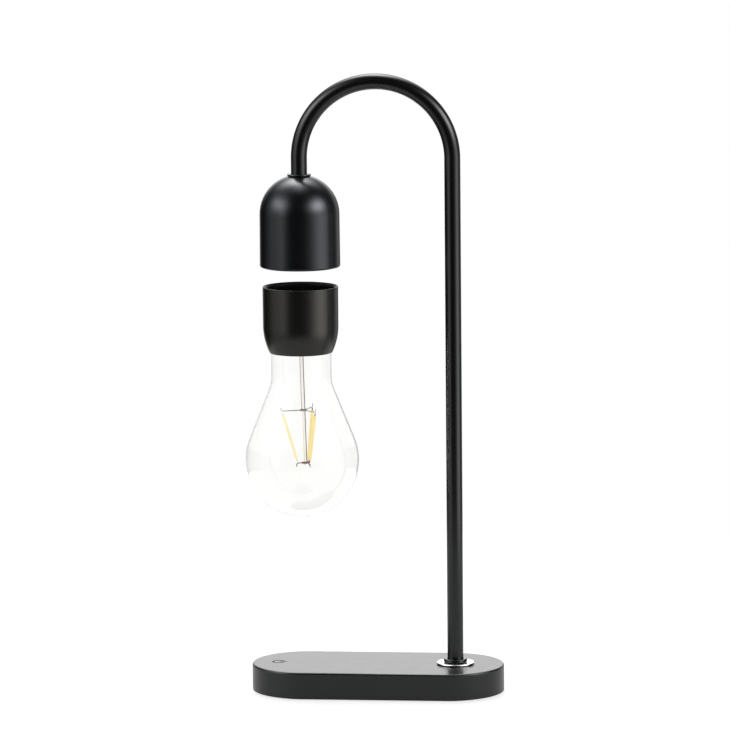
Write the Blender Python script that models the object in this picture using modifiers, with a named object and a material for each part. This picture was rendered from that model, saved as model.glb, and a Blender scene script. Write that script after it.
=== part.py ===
"""Levitating table lamp: a filament bulb floats under a magnet head on a bent stem.

Metres, +Z up. The origin is the middle of the foot pad's underside.
+X runs along the base towards the stem, and -Y is the front.
"""

import math
from dataclasses import dataclass

import bmesh
import bpy
from mathutils import Vector

# Fits and cuts
SEAT_GAP = 0.0003
CUT_OVERRUN = 0.002
WELD_DISTANCE = 0.000001
SMOOTH_ANGLE = math.radians(35)
TUBE_RESOLUTION = 6
CABLE_RESOLUTION = 2
WIRE_RESOLUTION = 1

# Base housing
BASE_LENGTH = 0.155
BASE_WIDTH = 0.067
BASE_HEIGHT = 0.0163
BASE_WALL = 0.0025
BASE_ROOF = 0.0025
BASE_EDGE_FILLET = 0.0005
BASE_EDGE_SEGMENTS = 2
PAD_THICKNESS = 0.0010
PAD_MARGIN = 0.0012
PLATE_THICKNESS = 0.0020
BASE_END_STEPS = 16

# Base screws and the bosses that take them
SCREW_BEYOND_END_CENTRE = 0.0125
SCREW_SPREAD = 0.016
SCREW_RADIUS = 0.0015
SCREW_HEAD_RADIUS = 0.0028
SCREW_HEAD_HEIGHT = 0.0016
SCREW_LENGTH = 0.008
BOSS_RADIUS = 0.0035
BOSS_ROOT = 0.001
SCREW_STEPS = 12

# Ballast, wireless charger and touch electrode
BALLAST_THICKNESS = 0.005
BALLAST_CLEARANCE = 0.0005
BALLAST_TO_BOARD = 0.001
CHARGING_COIL_FROM_SCREWS = 0.030
CHARGING_COIL_RADIUS = 0.0215
CHARGING_COIL_BORE = 0.010
CHARGING_COIL_THICKNESS = 0.0012
FERRITE_RADIUS = 0.0225
FERRITE_THICKNESS = 0.0008
TOUCH_FROM_END = 0.0161
TOUCH_RADIUS = 0.005
TOUCH_THICKNESS = 0.0008

# Base circuit board
BOARD_THICKNESS = 0.0016
BASE_BOARD_HALF_WIDTH = 0.0105
BASE_BOARD_LEFT_OF_SOCKET = 0.018
BASE_BOARD_TAB_HALF_WIDTH = 0.008
BASE_BOARD_BEYOND_STEM = 0.0055
CHIP_SINK = 0.0002

# Power socket for a 5.5 mm plug with a 2.1 mm pin
SOCKET_FROM_STEM = 0.0237
SOCKET_WIDTH = 0.009
SOCKET_DEPTH = 0.012
SOCKET_BORE_RADIUS = 0.0032
SOCKET_BORE_DEPTH = 0.010
SOCKET_WALL_HOLE_RADIUS = 0.0042
SOCKET_PIN_RADIUS = 0.00105
SOCKET_PIN_RECESS = 0.0025

# Stem
OVERALL_HEIGHT = 0.380
STEM_FROM_END = 0.0298
ARCH_SPAN = 0.0933
STEM_RADIUS = 0.00475
STEM_WALL = 0.001
LEAD_RADIUS = 0.0033
LEAD_TAIL = 0.001
SHORT_LEG = 0.0096
ARCH_STEPS = 28
NUT_FLATS = 0.014
NUT_THICKNESS = 0.004
NUT_TAIL = 0.0018
LOCK_WASHER_RADIUS = 0.0080
LOCK_WASHER_THICKNESS = 0.0008
LOCK_WASHER_TOOTH = 0.0008
LOCK_WASHER_TEETH = 12
STEM_WASHER_RADIUS = 0.01145
STEM_WASHER_THICKNESS = 0.0009
STEM_WASHER_EDGE = 0.00025
COLLAR_RADIUS = 0.0073
COLLAR_EDGE = 0.0002
STEM_COLLAR_THICKNESS = 0.0020
HEAD_COLLAR_THICKNESS = 0.0010

# Head housing
DOME_RADIUS = 0.0243
DOME_SKIRT = 0.0322
DOME_WALL = 0.0018
DOME_CROWN = 0.0031
DOME_EDGE_FILLET = 0.0014
DOME_FLAT_INSET = 0.0004
DOME_STEPS = 36
DOME_ARC_STEPS = 9
DOME_INNER_ARC_STEPS = 5
DOME_EDGE_STEPS = 2
COVER_RECESS = 0.0005
HEAD_COVER_THICKNESS = 0.0015

# Electromagnet, sensor and transmitter
BOBBIN_HEIGHT = 0.024
BOBBIN_BORE_RADIUS = 0.0043
BOBBIN_TUBE_RADIUS = 0.0053
BOBBIN_FLANGE_RADIUS = 0.013
BOBBIN_FLANGE_THICKNESS = 0.0015
WINDING_INSET = 0.0004
CORE_HEAD_RADIUS = 0.012
CORE_HEAD_THICKNESS = 0.003
SENSOR_SIDE = 0.003
SENSOR_THICKNESS = 0.0018
BIAS_MAGNET_RADIUS = 0.011
BIAS_MAGNET_THICKNESS = 0.006
TRANSMITTER_FROM_BOBBIN = 0.001
TRANSMITTER_FROM_WALL = 0.001
TRANSMITTER_THICKNESS = 0.0018
HEAD_BOARD_RADIUS = 0.018
INNER_STEPS = 24

# Floating cap
LEVITATION_GAP = 0.0119
CAP_RIM_RADIUS = 0.02305
CAP_WAIST_RADIUS = 0.0230
CAP_STRAIGHT = 0.0240
CAP_HEIGHT = 0.0405
CAP_CURVE_RADIUS = 0.0375
CAP_WALL = 0.0015
CAP_RIM_EDGE = 0.0004
CAP_STEPS = 36
CAP_ARC_STEPS = 7
CAP_COVER_RECESS = 0.0018
CAP_COVER_THICKNESS = 0.0016

# Floating magnet and receiver
MAGNET_RADIUS = 0.009
MAGNET_HEIGHT = 0.006
MAGNET_HEADROOM = 0.00105
MAGNET_TILT_ROOM = 0.00045
HOLDER_WALL = 0.0015
HOLDER_FLOOR = 0.0012
HOLDER_TILT_ROOM = 0.0005
RECEIVER_COIL_FROM_HOLDER = 0.0017
RECEIVER_COIL_FROM_WALL = 0.0008
RECEIVER_COIL_THICKNESS = 0.0015

# Glass
GLASS_SPHERE_RADIUS = 0.0347
GLASS_NECK_RADIUS = 0.0184
GLASS_SPHERE_DROP = 0.0663
GLASS_CONE_ANGLE = math.radians(21.8)
GLASS_SHOULDER_RADIUS = 0.022
GLASS_WALL = 0.0009
GLASS_NECK_BELOW_BOARD = 0.008
GLASS_STEPS = 32
GLASS_ARC_STEPS = 12
GLASS_SHOULDER_STEPS = 3
FUNNEL_WALL = 0.001
FUNNEL_DEPTH = 0.012
PRESS_RADIUS = 0.003
PRESS_HEIGHT = 0.0035

# Filament mount, measured down from the glass press
MOUNT_TILT = math.radians(-1.5)
ROD_RADIUS = 0.0008
WIRE_RADIUS = 0.00025
WIRE_GAP = 0.0002
LEAD_WIRE_ANGLE = math.radians(41)
UPPER_STAR_DROP = 0.0380
LOWER_STAR_DROP = 0.0705
UPPER_STAR_RADIUS = 0.0133
LOWER_STAR_RADIUS = 0.0049
STAR_TURN = math.radians(190.8)
STAR_WIRE_RADIUS = 0.0003
STAR_HUB_WALL = 0.0006
STAR_HUB_HEIGHT = 0.0009
STAR_TIP = 0.0020
FILAMENT_COUNT = 3
FILAMENT_RADIUS = 0.00085
FILAMENT_LUG = 0.0012
FILAMENT_LUG_RADIUS = 0.0003
FILAMENT_STEPS = 10
BULB_LEAD_RADIUS = 0.00035

# Places that follow from the sizes
base_end_centre = (BASE_LENGTH - BASE_WIDTH) / 2
base_rim = PAD_THICKNESS
base_top = base_rim + BASE_HEIGHT
roof_under = base_top - BASE_ROOF
plate_bottom = PAD_THICKNESS + SEAT_GAP
plate_top = plate_bottom + PLATE_THICKNESS
floor_inside = plate_top + SEAT_GAP
screw_x = base_end_centre + SCREW_BEYOND_END_CENTRE
inner_half_width = BASE_WIDTH / 2 - BASE_WALL
stem_x = BASE_LENGTH / 2 - STEM_FROM_END
bulb_x = stem_x - ARCH_SPAN
socket_x = stem_x - SOCKET_FROM_STEM
coil_x = CHARGING_COIL_FROM_SCREWS - screw_x
touch_x = TOUCH_FROM_END - BASE_LENGTH / 2
board_left = socket_x - BASE_BOARD_LEFT_OF_SOCKET
board_top = floor_inside + BOARD_THICKNESS
socket_bottom = board_top + SEAT_GAP
socket_top = roof_under - SEAT_GAP
socket_axis = (socket_bottom + socket_top) / 2
socket_face = inner_half_width - SEAT_GAP
coil_bottom = roof_under - SEAT_GAP - CHARGING_COIL_THICKNESS
stem_foot = board_top + SEAT_GAP + LEAD_TAIL
stem_hole_radius = STEM_RADIUS + SEAT_GAP
lock_washer_bottom = roof_under - SEAT_GAP - LOCK_WASHER_THICKNESS
arch_radius = ARCH_SPAN / 2
arch_centre_x = (stem_x + bulb_x) / 2
arch_centre_z = OVERALL_HEIGHT - STEM_RADIUS - arch_radius

head_collar_bottom = arch_centre_z - SHORT_LEG - HEAD_COLLAR_THICKNESS
dome_flat_radius = COLLAR_RADIUS - DOME_FLAT_INSET
dome_flat = head_collar_bottom - SEAT_GAP
dome_centre = dome_flat - math.sqrt(DOME_RADIUS**2 - dome_flat_radius**2)
dome_bottom = dome_centre - DOME_SKIRT
dome_ceiling = dome_flat - DOME_CROWN
dome_inner_radius = DOME_RADIUS - DOME_WALL
head_nut_bottom = dome_ceiling - SEAT_GAP - NUT_THICKNESS
head_cover_bottom = dome_bottom + COVER_RECESS
head_cover_top = head_cover_bottom + HEAD_COVER_THICKNESS
bobbin_bottom = head_cover_top + SEAT_GAP
bobbin_top = bobbin_bottom + BOBBIN_HEIGHT
core_head_bottom = bobbin_top + SEAT_GAP
bias_magnet_bottom = core_head_bottom + CORE_HEAD_THICKNESS + SEAT_GAP
head_board_bottom = bias_magnet_bottom + BIAS_MAGNET_THICKNESS + SEAT_GAP
head_board_top = head_board_bottom + BOARD_THICKNESS

cap_rim = dome_bottom - LEVITATION_GAP
cap_bottom = cap_rim - CAP_HEIGHT
cap_inner_radius = CAP_WAIST_RADIUS - CAP_WALL
cap_cover_top = cap_rim - CAP_COVER_RECESS
cap_cover_bottom = cap_cover_top - CAP_COVER_THICKNESS
magnet_top = cap_cover_bottom - MAGNET_HEADROOM
magnet_bottom = magnet_top - MAGNET_HEIGHT
pivot_height = (magnet_top + magnet_bottom) / 2
holder_bottom = magnet_bottom - MAGNET_TILT_ROOM - HOLDER_FLOOR
holder_radius = MAGNET_RADIUS + SEAT_GAP + HOLDER_WALL
receiver_board_top = holder_bottom - HOLDER_TILT_ROOM
cap_ledge = receiver_board_top - BOARD_THICKNESS - SEAT_GAP
cap_neck_radius = GLASS_NECK_RADIUS + SEAT_GAP
glass_centre = cap_bottom - GLASS_SPHERE_DROP
glass_neck_top = cap_ledge - GLASS_NECK_BELOW_BOARD
funnel_radius = GLASS_NECK_RADIUS - GLASS_WALL - SEAT_GAP
press_top = glass_neck_top - FUNNEL_DEPTH
press_bottom = press_top - PRESS_HEIGHT
lead_wire_offset = ROD_RADIUS + WIRE_GAP + WIRE_RADIUS
hub_bore_radius = lead_wire_offset + WIRE_RADIUS + WIRE_GAP


@dataclass(frozen=True)
class Finish:
    """Colour, roughness and metallic value of a surface, with how much light passes through it."""

    colour: tuple
    roughness: float
    metallic: float = 0.0
    transmission: float = 0.0


# Finishes
SATIN_BLACK = Finish((0.016, 0.016, 0.018), 0.38)
MATT_BLACK = Finish((0.014, 0.014, 0.014), 0.55)
POLISHED_STEEL = Finish((0.86, 0.86, 0.85), 0.08, 1.0)
PLAIN_STEEL = Finish((0.55, 0.55, 0.56), 0.35, 1.0)
ZINC_PLATE = Finish((0.70, 0.71, 0.72), 0.28, 1.0)
NICKEL_PLATE = Finish((0.78, 0.76, 0.72), 0.18, 1.0)
COPPER_WIRE = Finish((0.72, 0.34, 0.18), 0.32, 1.0)
BLACK_RUBBER = Finish((0.025, 0.025, 0.025), 0.80)
GREEN_BOARD = Finish((0.02, 0.16, 0.07), 0.45)
DARK_FERRITE = Finish((0.05, 0.05, 0.055), 0.60)
WHITE_NYLON = Finish((0.80, 0.80, 0.77), 0.50)
CLEAR_GLASS = Finish((1.0, 1.0, 1.0), 0.02, 0.0, 1.0)
FILAMENT_YELLOW = Finish((0.95, 0.72, 0.22), 0.55)
DULL_WIRE = Finish((0.36, 0.33, 0.29), 0.35, 1.0)


def clear_scene():
    """Takes every object out of the scene."""
    for found in list(bpy.data.objects):
        bpy.data.objects.remove(found)


def new_collection(name, parent):
    """A collection under another one."""
    made = bpy.data.collections.new(name)
    parent.children.link(made)
    return made


def dress(piece, finish):
    """Gives a piece a material of its own, named after it."""
    material = bpy.data.materials.new(piece.name + "_finish")
    material.use_nodes = True
    shader = material.node_tree.nodes["Principled BSDF"]
    shader.inputs["Base Color"].default_value = (*finish.colour, 1.0)
    shader.inputs["Roughness"].default_value = finish.roughness
    shader.inputs["Metallic"].default_value = finish.metallic
    shader.inputs["Transmission Weight"].default_value = finish.transmission
    material.diffuse_color = (*finish.colour, 1.0)
    piece.data.materials.clear()
    piece.data.materials.append(material)


def place(piece, parent, position):
    """Puts a piece at a world position, under an empty that isn't turned."""
    piece.parent = parent
    piece.location = Vector(position) - parent.location


def new_piece(name, mesh):
    """A mesh object in the lamp's collection, shaded smooth up to the sharp angle."""
    piece = bpy.data.objects.new(name, mesh)
    lamp_collection.objects.link(piece)
    mesh.shade_smooth()
    mesh.set_sharp_from_angle(angle=SMOOTH_ANGLE)
    return piece


def as_cutter(piece):
    """Moves a piece to the cutters' collection, where only Booleans read it."""
    lamp_collection.objects.unlink(piece)
    cutter_collection.objects.link(piece)
    piece.hide_render = True
    piece.display_type = "WIRE"
    return piece


def boolean(piece, operand, operation):
    """Joins or cuts a piece with another mesh object."""
    step = piece.modifiers.new(operand.name, "BOOLEAN")
    step.operation = operation
    step.object = as_cutter(operand)


def mesh_from_curve(guide):
    """Makes a curve object a welded mesh object, and removes the curve."""
    bpy.context.view_layer.update()
    evaluated = guide.evaluated_get(bpy.context.evaluated_depsgraph_get())
    mesh = bpy.data.meshes.new_from_object(evaluated)
    mesh.name = guide.name
    shape = bmesh.new()
    shape.from_mesh(mesh)
    bmesh.ops.remove_doubles(shape, verts=shape.verts, dist=WELD_DISTANCE)
    bmesh.ops.recalc_face_normals(shape, faces=shape.faces)
    shape.to_mesh(mesh)
    shape.free()
    name = guide.name
    at = guide.matrix_world.copy()
    bpy.data.objects.remove(guide)
    piece = new_piece(name, mesh)
    piece.matrix_world = at
    return piece


def flat_piece(name, outline, bottom, top, holes=()):
    """A plate between two heights, from an outline and any holes in it."""
    curve = bpy.data.curves.new(name, "CURVE")
    curve.dimensions = "2D"
    curve.fill_mode = "BOTH"
    curve.extrude = (top - bottom) / 2
    for loop in (outline, *holes):
        spline = curve.splines.new("POLY")
        spline.points.add(len(loop) - 1)
        for point, (x, y) in zip(spline.points, loop):
            point.co = (x, y, 0, 1)
        spline.use_cyclic_u = True
    guide = bpy.data.objects.new(name, curve)
    lamp_collection.objects.link(guide)
    guide.location.z = (top + bottom) / 2
    return mesh_from_curve(guide)


def tube_piece(name, points, radius, resolution, capped=True):
    """A round wire or tube along a path of points."""
    curve = bpy.data.curves.new(name, "CURVE")
    curve.dimensions = "3D"
    curve.bevel_depth = radius
    curve.bevel_resolution = resolution
    curve.use_fill_caps = capped
    spline = curve.splines.new("POLY")
    spline.points.add(len(points) - 1)
    for point, place_of_point in zip(spline.points, points):
        point.co = (*place_of_point, 1)
    guide = bpy.data.objects.new(name, curve)
    lamp_collection.objects.link(guide)
    return mesh_from_curve(guide)


def turned_piece(name, profile, steps, closed=True):
    """A turned shape: a profile of (radius, height) points swept round the Z axis.

    The profile runs down its outer side. An open one starts and ends on the axis, or stays a surface.
    """
    mesh = bpy.data.meshes.new(name)
    edges = [(i, i + 1) for i in range(len(profile) - 1)]
    if closed:
        edges.append((len(profile) - 1, 0))
    mesh.from_pydata([(radius, 0, height) for radius, height in profile], edges, [])
    piece = new_piece(name, mesh)
    sweep = piece.modifiers.new("Turn", "SCREW")
    sweep.axis = "Z"
    sweep.steps = steps
    sweep.render_steps = steps
    sweep.use_merge_vertices = True
    sweep.merge_threshold = WELD_DISTANCE
    sweep.use_smooth_shade = True
    return piece


def box_piece(name, low, high):
    """A box between two corners."""
    shape = bmesh.new()
    bmesh.ops.create_cube(shape, size=1)
    low, high = Vector(low), Vector(high)
    bmesh.ops.scale(shape, vec=high - low, verts=shape.verts)
    bmesh.ops.translate(shape, vec=(high + low) / 2, verts=shape.verts)
    mesh = bpy.data.meshes.new(name)
    shape.to_mesh(mesh)
    shape.free()
    return new_piece(name, mesh)


def cylinder_piece(name, radius, bottom, top, steps):
    """An upright cylinder on the Z axis, between two heights."""
    shape = bmesh.new()
    bmesh.ops.create_cone(
        shape, cap_ends=True, segments=steps, radius1=radius, radius2=radius, depth=top - bottom
    )
    bmesh.ops.translate(shape, vec=(0, 0, (top + bottom) / 2), verts=shape.verts)
    mesh = bpy.data.meshes.new(name)
    shape.to_mesh(mesh)
    shape.free()
    return new_piece(name, mesh)


def arc(centre, radius, start, end, steps):
    """Points along an arc, from one angle to another, in radians from the first axis."""
    turn = (end - start) / steps
    angles = [start + turn * i for i in range(steps + 1)]
    return [(centre[0] + radius * math.cos(a), centre[1] + radius * math.sin(a)) for a in angles]


def circle(centre, radius, steps):
    """Points round a circle."""
    return arc(centre, radius, 0, math.tau, steps)[:-1]


def pill(length, width, inset):
    """The base's outline: straight sides and half-round ends, drawn in by an inset."""
    radius = width / 2 - inset
    middle = (length - width) / 2
    quarter = math.pi / 2
    right = arc((middle, 0), radius, -quarter, quarter, BASE_END_STEPS)
    left = arc((-middle, 0), radius, quarter, 3 * quarter, BASE_END_STEPS)
    return right + left


def ring_profile(bore, radius, bottom, top, edge=0.0):
    """A ring's closed profile, with its two outer corners taken off by edge."""
    if not edge:
        return [(bore, top), (radius, top), (radius, bottom), (bore, bottom)]
    return [
        (bore, top),
        (radius - edge, top),
        (radius, top - edge),
        (radius, bottom + edge),
        (radius - edge, bottom),
        (bore, bottom),
    ]


def disc_profile(radius, bottom, top, edge):
    """A disc's profile from axis to axis, with its two outer corners taken off."""
    return [(0, top), *ring_profile(0, radius, bottom, top, edge)[1:-1], (0, bottom)]


def screw_places():
    """The four screw axes, two at each end of the base."""
    return [(x, y) for x in (-screw_x, screw_x) for y in (-SCREW_SPREAD, SCREW_SPREAD)]


def add_chips(board, places, size, top):
    """Stands block-shaped parts on a board, at places that are their middles."""
    for number, (x, y) in enumerate(places, 1):
        low = (x - size[0] / 2, y - size[1] / 2, top - CHIP_SINK)
        high = (x + size[0] / 2, y + size[1] / 2, top + size[2])
        boolean(board, box_piece(f"{board.name}_chip_{number}", low, high), "UNION")


def base_shell():
    """The housing: a pill-shaped tray upside down, with screw bosses inside."""
    shell = flat_piece("base_shell", pill(BASE_LENGTH, BASE_WIDTH, 0), base_rim, base_top)
    fillet = shell.modifiers.new("Edge fillet", "BEVEL")
    fillet.width = BASE_EDGE_FILLET
    fillet.segments = BASE_EDGE_SEGMENTS
    fillet.limit_method = "ANGLE"
    inside = pill(BASE_LENGTH, BASE_WIDTH, BASE_WALL)
    hollow = flat_piece("base_hollow", inside, base_rim - CUT_OVERRUN, roof_under)
    boolean(shell, hollow, "DIFFERENCE")
    hole_top = plate_bottom + SCREW_LENGTH + SEAT_GAP
    for number, (x, y) in enumerate(screw_places(), 1):
        boss = cylinder_piece(
            f"boss_{number}", BOSS_RADIUS, floor_inside, roof_under + BOSS_ROOT, SCREW_STEPS
        )
        boss.location = (x, y, 0)
        boolean(shell, boss, "UNION")
        hole = cylinder_piece(
            f"boss_hole_{number}",
            SCREW_RADIUS + SEAT_GAP,
            floor_inside - CUT_OVERRUN,
            hole_top,
            SCREW_STEPS,
        )
        hole.location = (x, y, 0)
        boolean(shell, hole, "DIFFERENCE")
    stem_hole = cylinder_piece(
        "stem_hole", stem_hole_radius, roof_under - CUT_OVERRUN, base_top + CUT_OVERRUN, INNER_STEPS
    )
    stem_hole.location = (stem_x, 0, 0)
    boolean(shell, stem_hole, "DIFFERENCE")
    boolean(shell, socket_wall_hole(), "DIFFERENCE")
    dress(shell, SATIN_BLACK)
    return shell


def socket_wall_hole():
    """The cutter for the round opening in the rear wall, in front of the power socket."""
    hole = cylinder_piece(
        "socket_wall_hole",
        SOCKET_WALL_HOLE_RADIUS,
        inner_half_width - CUT_OVERRUN,
        BASE_WIDTH / 2 + CUT_OVERRUN,
        INNER_STEPS,
    )
    hole.rotation_euler = (-math.pi / 2, 0, 0)
    hole.location = (socket_x, 0, socket_axis)
    return hole


def base_plate():
    """The bottom plate, countersunk for the four screws."""
    inset = BASE_WALL + SEAT_GAP
    plate = flat_piece("base_plate", pill(BASE_LENGTH, BASE_WIDTH, inset), plate_bottom, plate_top)
    slope = (SCREW_HEAD_RADIUS - SCREW_RADIUS) / SCREW_HEAD_HEIGHT
    mouth = SCREW_HEAD_RADIUS + SEAT_GAP + slope * CUT_OVERRUN
    waist = SCREW_RADIUS + SEAT_GAP
    profile = [
        (0, plate_top + CUT_OVERRUN),
        (waist, plate_top + CUT_OVERRUN),
        (waist, plate_bottom + SCREW_HEAD_HEIGHT),
        (mouth, plate_bottom - CUT_OVERRUN),
        (0, plate_bottom - CUT_OVERRUN),
    ]
    for number, (x, y) in enumerate(screw_places(), 1):
        sink = turned_piece(f"countersink_{number}", profile, SCREW_STEPS, closed=False)
        sink.location = (x, y, 0)
        boolean(plate, sink, "DIFFERENCE")
    dress(plate, MATT_BLACK)
    return plate


def foot_pad():
    """The rubber pad under the plate."""
    inset = BASE_WALL + SEAT_GAP + PAD_MARGIN
    pad = flat_piece("foot_pad", pill(BASE_LENGTH, BASE_WIDTH, inset), 0, PAD_THICKNESS)
    dress(pad, BLACK_RUBBER)
    return pad


def base_screw(number, x, y):
    """A countersunk screw that points up, with its head flush in the plate."""
    profile = [
        (0, plate_bottom + SCREW_LENGTH),
        (SCREW_RADIUS, plate_bottom + SCREW_LENGTH),
        (SCREW_RADIUS, plate_bottom + SCREW_HEAD_HEIGHT),
        (SCREW_HEAD_RADIUS, plate_bottom),
        (0, plate_bottom),
    ]
    screw = turned_piece(f"base_screw_{number}", profile, SCREW_STEPS, closed=False)
    screw.location = (x, y, 0)
    dress(screw, ZINC_PLATE)
    return screw


def ballast_weight():
    """The steel weight: it fills the round end of the base as far as the circuit board."""
    radius = inner_half_width - BALLAST_CLEARANCE
    quarter = math.pi / 2
    right = board_left - BALLAST_TO_BOARD
    outline = arc((-base_end_centre, 0), radius, quarter, 3 * quarter, BASE_END_STEPS)
    outline += [(right, -radius), (right, radius)]
    top = floor_inside + BALLAST_THICKNESS
    weight = flat_piece("ballast_weight", outline, floor_inside, top)
    for number, (x, y) in enumerate(screw_places(), 1):
        if x > 0:
            continue
        hole = cylinder_piece(
            f"ballast_hole_{number}",
            BOSS_RADIUS + BALLAST_CLEARANCE,
            floor_inside - CUT_OVERRUN,
            top + CUT_OVERRUN,
            SCREW_STEPS,
        )
        hole.location = (x, y, 0)
        boolean(weight, hole, "DIFFERENCE")
    dress(weight, PLAIN_STEEL)
    return weight


def charging_coil():
    """The charger's flat coil, against the roof."""
    profile = ring_profile(
        CHARGING_COIL_BORE, CHARGING_COIL_RADIUS, coil_bottom, coil_bottom + CHARGING_COIL_THICKNESS
    )
    coil = turned_piece("charging_coil", profile, INNER_STEPS)
    coil.location.x = coil_x
    dress(coil, COPPER_WIRE)
    return coil


def coil_ferrite():
    """The ferrite disc that backs the charger's coil."""
    top = coil_bottom - SEAT_GAP
    ferrite = cylinder_piece("coil_ferrite", FERRITE_RADIUS, top - FERRITE_THICKNESS, top, INNER_STEPS)
    ferrite.location.x = coil_x
    dress(ferrite, DARK_FERRITE)
    return ferrite


def touch_electrode():
    """The round sense pad under the touch mark, against the roof."""
    top = roof_under - SEAT_GAP
    pad = cylinder_piece("touch_electrode", TOUCH_RADIUS, top - TOUCH_THICKNESS, top, INNER_STEPS)
    pad.location.x = touch_x
    dress(pad, COPPER_WIRE)
    return pad


def base_circuit_board():
    """The board on the plate: it runs under the stem's foot and has a tab for the socket."""
    tab_left = socket_x - BASE_BOARD_TAB_HALF_WIDTH
    tab_right = socket_x + BASE_BOARD_TAB_HALF_WIDTH
    right = stem_x + BASE_BOARD_BEYOND_STEM
    outline = [
        (board_left, -BASE_BOARD_HALF_WIDTH),
        (right, -BASE_BOARD_HALF_WIDTH),
        (right, BASE_BOARD_HALF_WIDTH),
        (tab_right, BASE_BOARD_HALF_WIDTH),
        (tab_right, socket_face),
        (tab_left, socket_face),
        (tab_left, BASE_BOARD_HALF_WIDTH),
        (board_left, BASE_BOARD_HALF_WIDTH),
    ]
    board = flat_piece("base_circuit_board", outline, floor_inside, board_top)
    half = BASE_BOARD_HALF_WIDTH / 2
    chip = (half, half, BOARD_THICKNESS)
    add_chips(board, [(board_left + half, half), (socket_x, -half)], chip, board_top)
    dress(board, GREEN_BOARD)
    return board


def power_socket():
    """The barrel socket's body, with its bore open to the rear."""
    low = (socket_x - SOCKET_WIDTH / 2, socket_face - SOCKET_DEPTH, socket_bottom)
    high = (socket_x + SOCKET_WIDTH / 2, socket_face, socket_top)
    socket = box_piece("power_socket", low, high)
    bore_bottom = socket_face - SOCKET_BORE_DEPTH
    bore = cylinder_piece(
        "socket_bore", SOCKET_BORE_RADIUS, bore_bottom, socket_face + CUT_OVERRUN, INNER_STEPS
    )
    bore.rotation_euler = (-math.pi / 2, 0, 0)
    bore.location = (socket_x, 0, socket_axis)
    boolean(socket, bore, "DIFFERENCE")
    dress(socket, MATT_BLACK)
    return socket


def power_socket_pin():
    """The socket's centre pin, on the floor of the bore."""
    back = socket_face - SOCKET_BORE_DEPTH + SEAT_GAP
    front = socket_face - SOCKET_PIN_RECESS
    pin = cylinder_piece("power_socket_pin", SOCKET_PIN_RADIUS, back, front, SCREW_STEPS)
    pin.rotation_euler = (-math.pi / 2, 0, 0)
    pin.location = (socket_x, 0, socket_axis)
    dress(pin, NICKEL_PLATE)
    return pin


def stem_path(foot, tip):
    """The stem's centreline: up from foot, half round the arch, and down to tip over the bulb."""
    curve = arc((arch_centre_x, arch_centre_z), arch_radius, 0, math.pi, ARCH_STEPS)
    return [(stem_x, 0, foot), *[(x, 0, z) for x, z in curve], (bulb_x, 0, tip)]


def stem_tube():
    """The bent tube, from inside the base to inside the head."""
    path = stem_path(stem_foot, head_nut_bottom - NUT_TAIL)
    tube = tube_piece("stem_tube", path, STEM_RADIUS, TUBE_RESOLUTION, capped=False)
    wall = tube.modifiers.new("Wall", "SOLIDIFY")
    wall.thickness = STEM_WALL
    wall.offset = -1
    dress(tube, SATIN_BLACK)
    return tube


def stem_lead():
    """The cable inside the tube, from the base board to the head board."""
    path = stem_path(board_top + SEAT_GAP, head_board_top + SEAT_GAP)
    lead = tube_piece("stem_lead", path, LEAD_RADIUS, CABLE_RESOLUTION)
    dress(lead, MATT_BLACK)
    return lead


def stem_washer():
    """The bright washer on the base's top."""
    bottom = base_top + SEAT_GAP
    profile = ring_profile(
        stem_hole_radius,
        STEM_WASHER_RADIUS,
        bottom,
        bottom + STEM_WASHER_THICKNESS,
        STEM_WASHER_EDGE,
    )
    washer = turned_piece("stem_washer", profile, DOME_STEPS)
    washer.location.x = stem_x
    dress(washer, POLISHED_STEEL)
    return washer


def collar(name, x, bottom, thickness):
    """A thin black collar round the tube."""
    profile = ring_profile(stem_hole_radius, COLLAR_RADIUS, bottom, bottom + thickness, COLLAR_EDGE)
    made = turned_piece(name, profile, INNER_STEPS)
    made.location.x = x
    dress(made, SATIN_BLACK)
    return made


def locknut(name, x, bottom):
    """A hexagon nut round the tube."""
    outline = circle((x, 0), NUT_FLATS / math.sqrt(3), 6)
    hole = circle((x, 0), stem_hole_radius, INNER_STEPS)
    nut = flat_piece(name, outline, bottom, bottom + NUT_THICKNESS, [hole])
    dress(nut, ZINC_PLATE)
    return nut


def stem_lock_washer():
    """The toothed washer between the base's roof and the nut."""
    turn = math.pi / LOCK_WASHER_TEETH
    outline = []
    for step in range(2 * LOCK_WASHER_TEETH):
        radius = LOCK_WASHER_RADIUS - LOCK_WASHER_TOOTH * (step % 2)
        outline.append((stem_x + radius * math.cos(turn * step), radius * math.sin(turn * step)))
    hole = circle((stem_x, 0), stem_hole_radius, INNER_STEPS)
    top = lock_washer_bottom + LOCK_WASHER_THICKNESS
    washer = flat_piece("stem_lock_washer", outline, lock_washer_bottom, top, [hole])
    dress(washer, ZINC_PLATE)
    return washer


def head_shell():
    """The dome: a flat under the collar, a round shoulder, and a straight skirt with a soft edge."""
    quarter = math.pi / 2
    start = math.acos(dome_flat_radius / DOME_RADIUS)
    ceiling = math.asin((dome_ceiling - dome_centre) / dome_inner_radius)
    edge_centre = (DOME_RADIUS - DOME_EDGE_FILLET, dome_bottom + DOME_EDGE_FILLET)
    profile = [(stem_hole_radius, dome_flat)]
    profile += arc((0, dome_centre), DOME_RADIUS, start, 0, DOME_ARC_STEPS)
    profile += arc(edge_centre, DOME_EDGE_FILLET, 0, -quarter, DOME_EDGE_STEPS)
    profile.append((dome_inner_radius, dome_bottom))
    profile += arc((0, dome_centre), dome_inner_radius, 0, ceiling, DOME_INNER_ARC_STEPS)
    profile.append((stem_hole_radius, dome_ceiling))
    dome = turned_piece("head_shell", profile, DOME_STEPS)
    dress(dome, SATIN_BLACK)
    return dome


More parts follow.
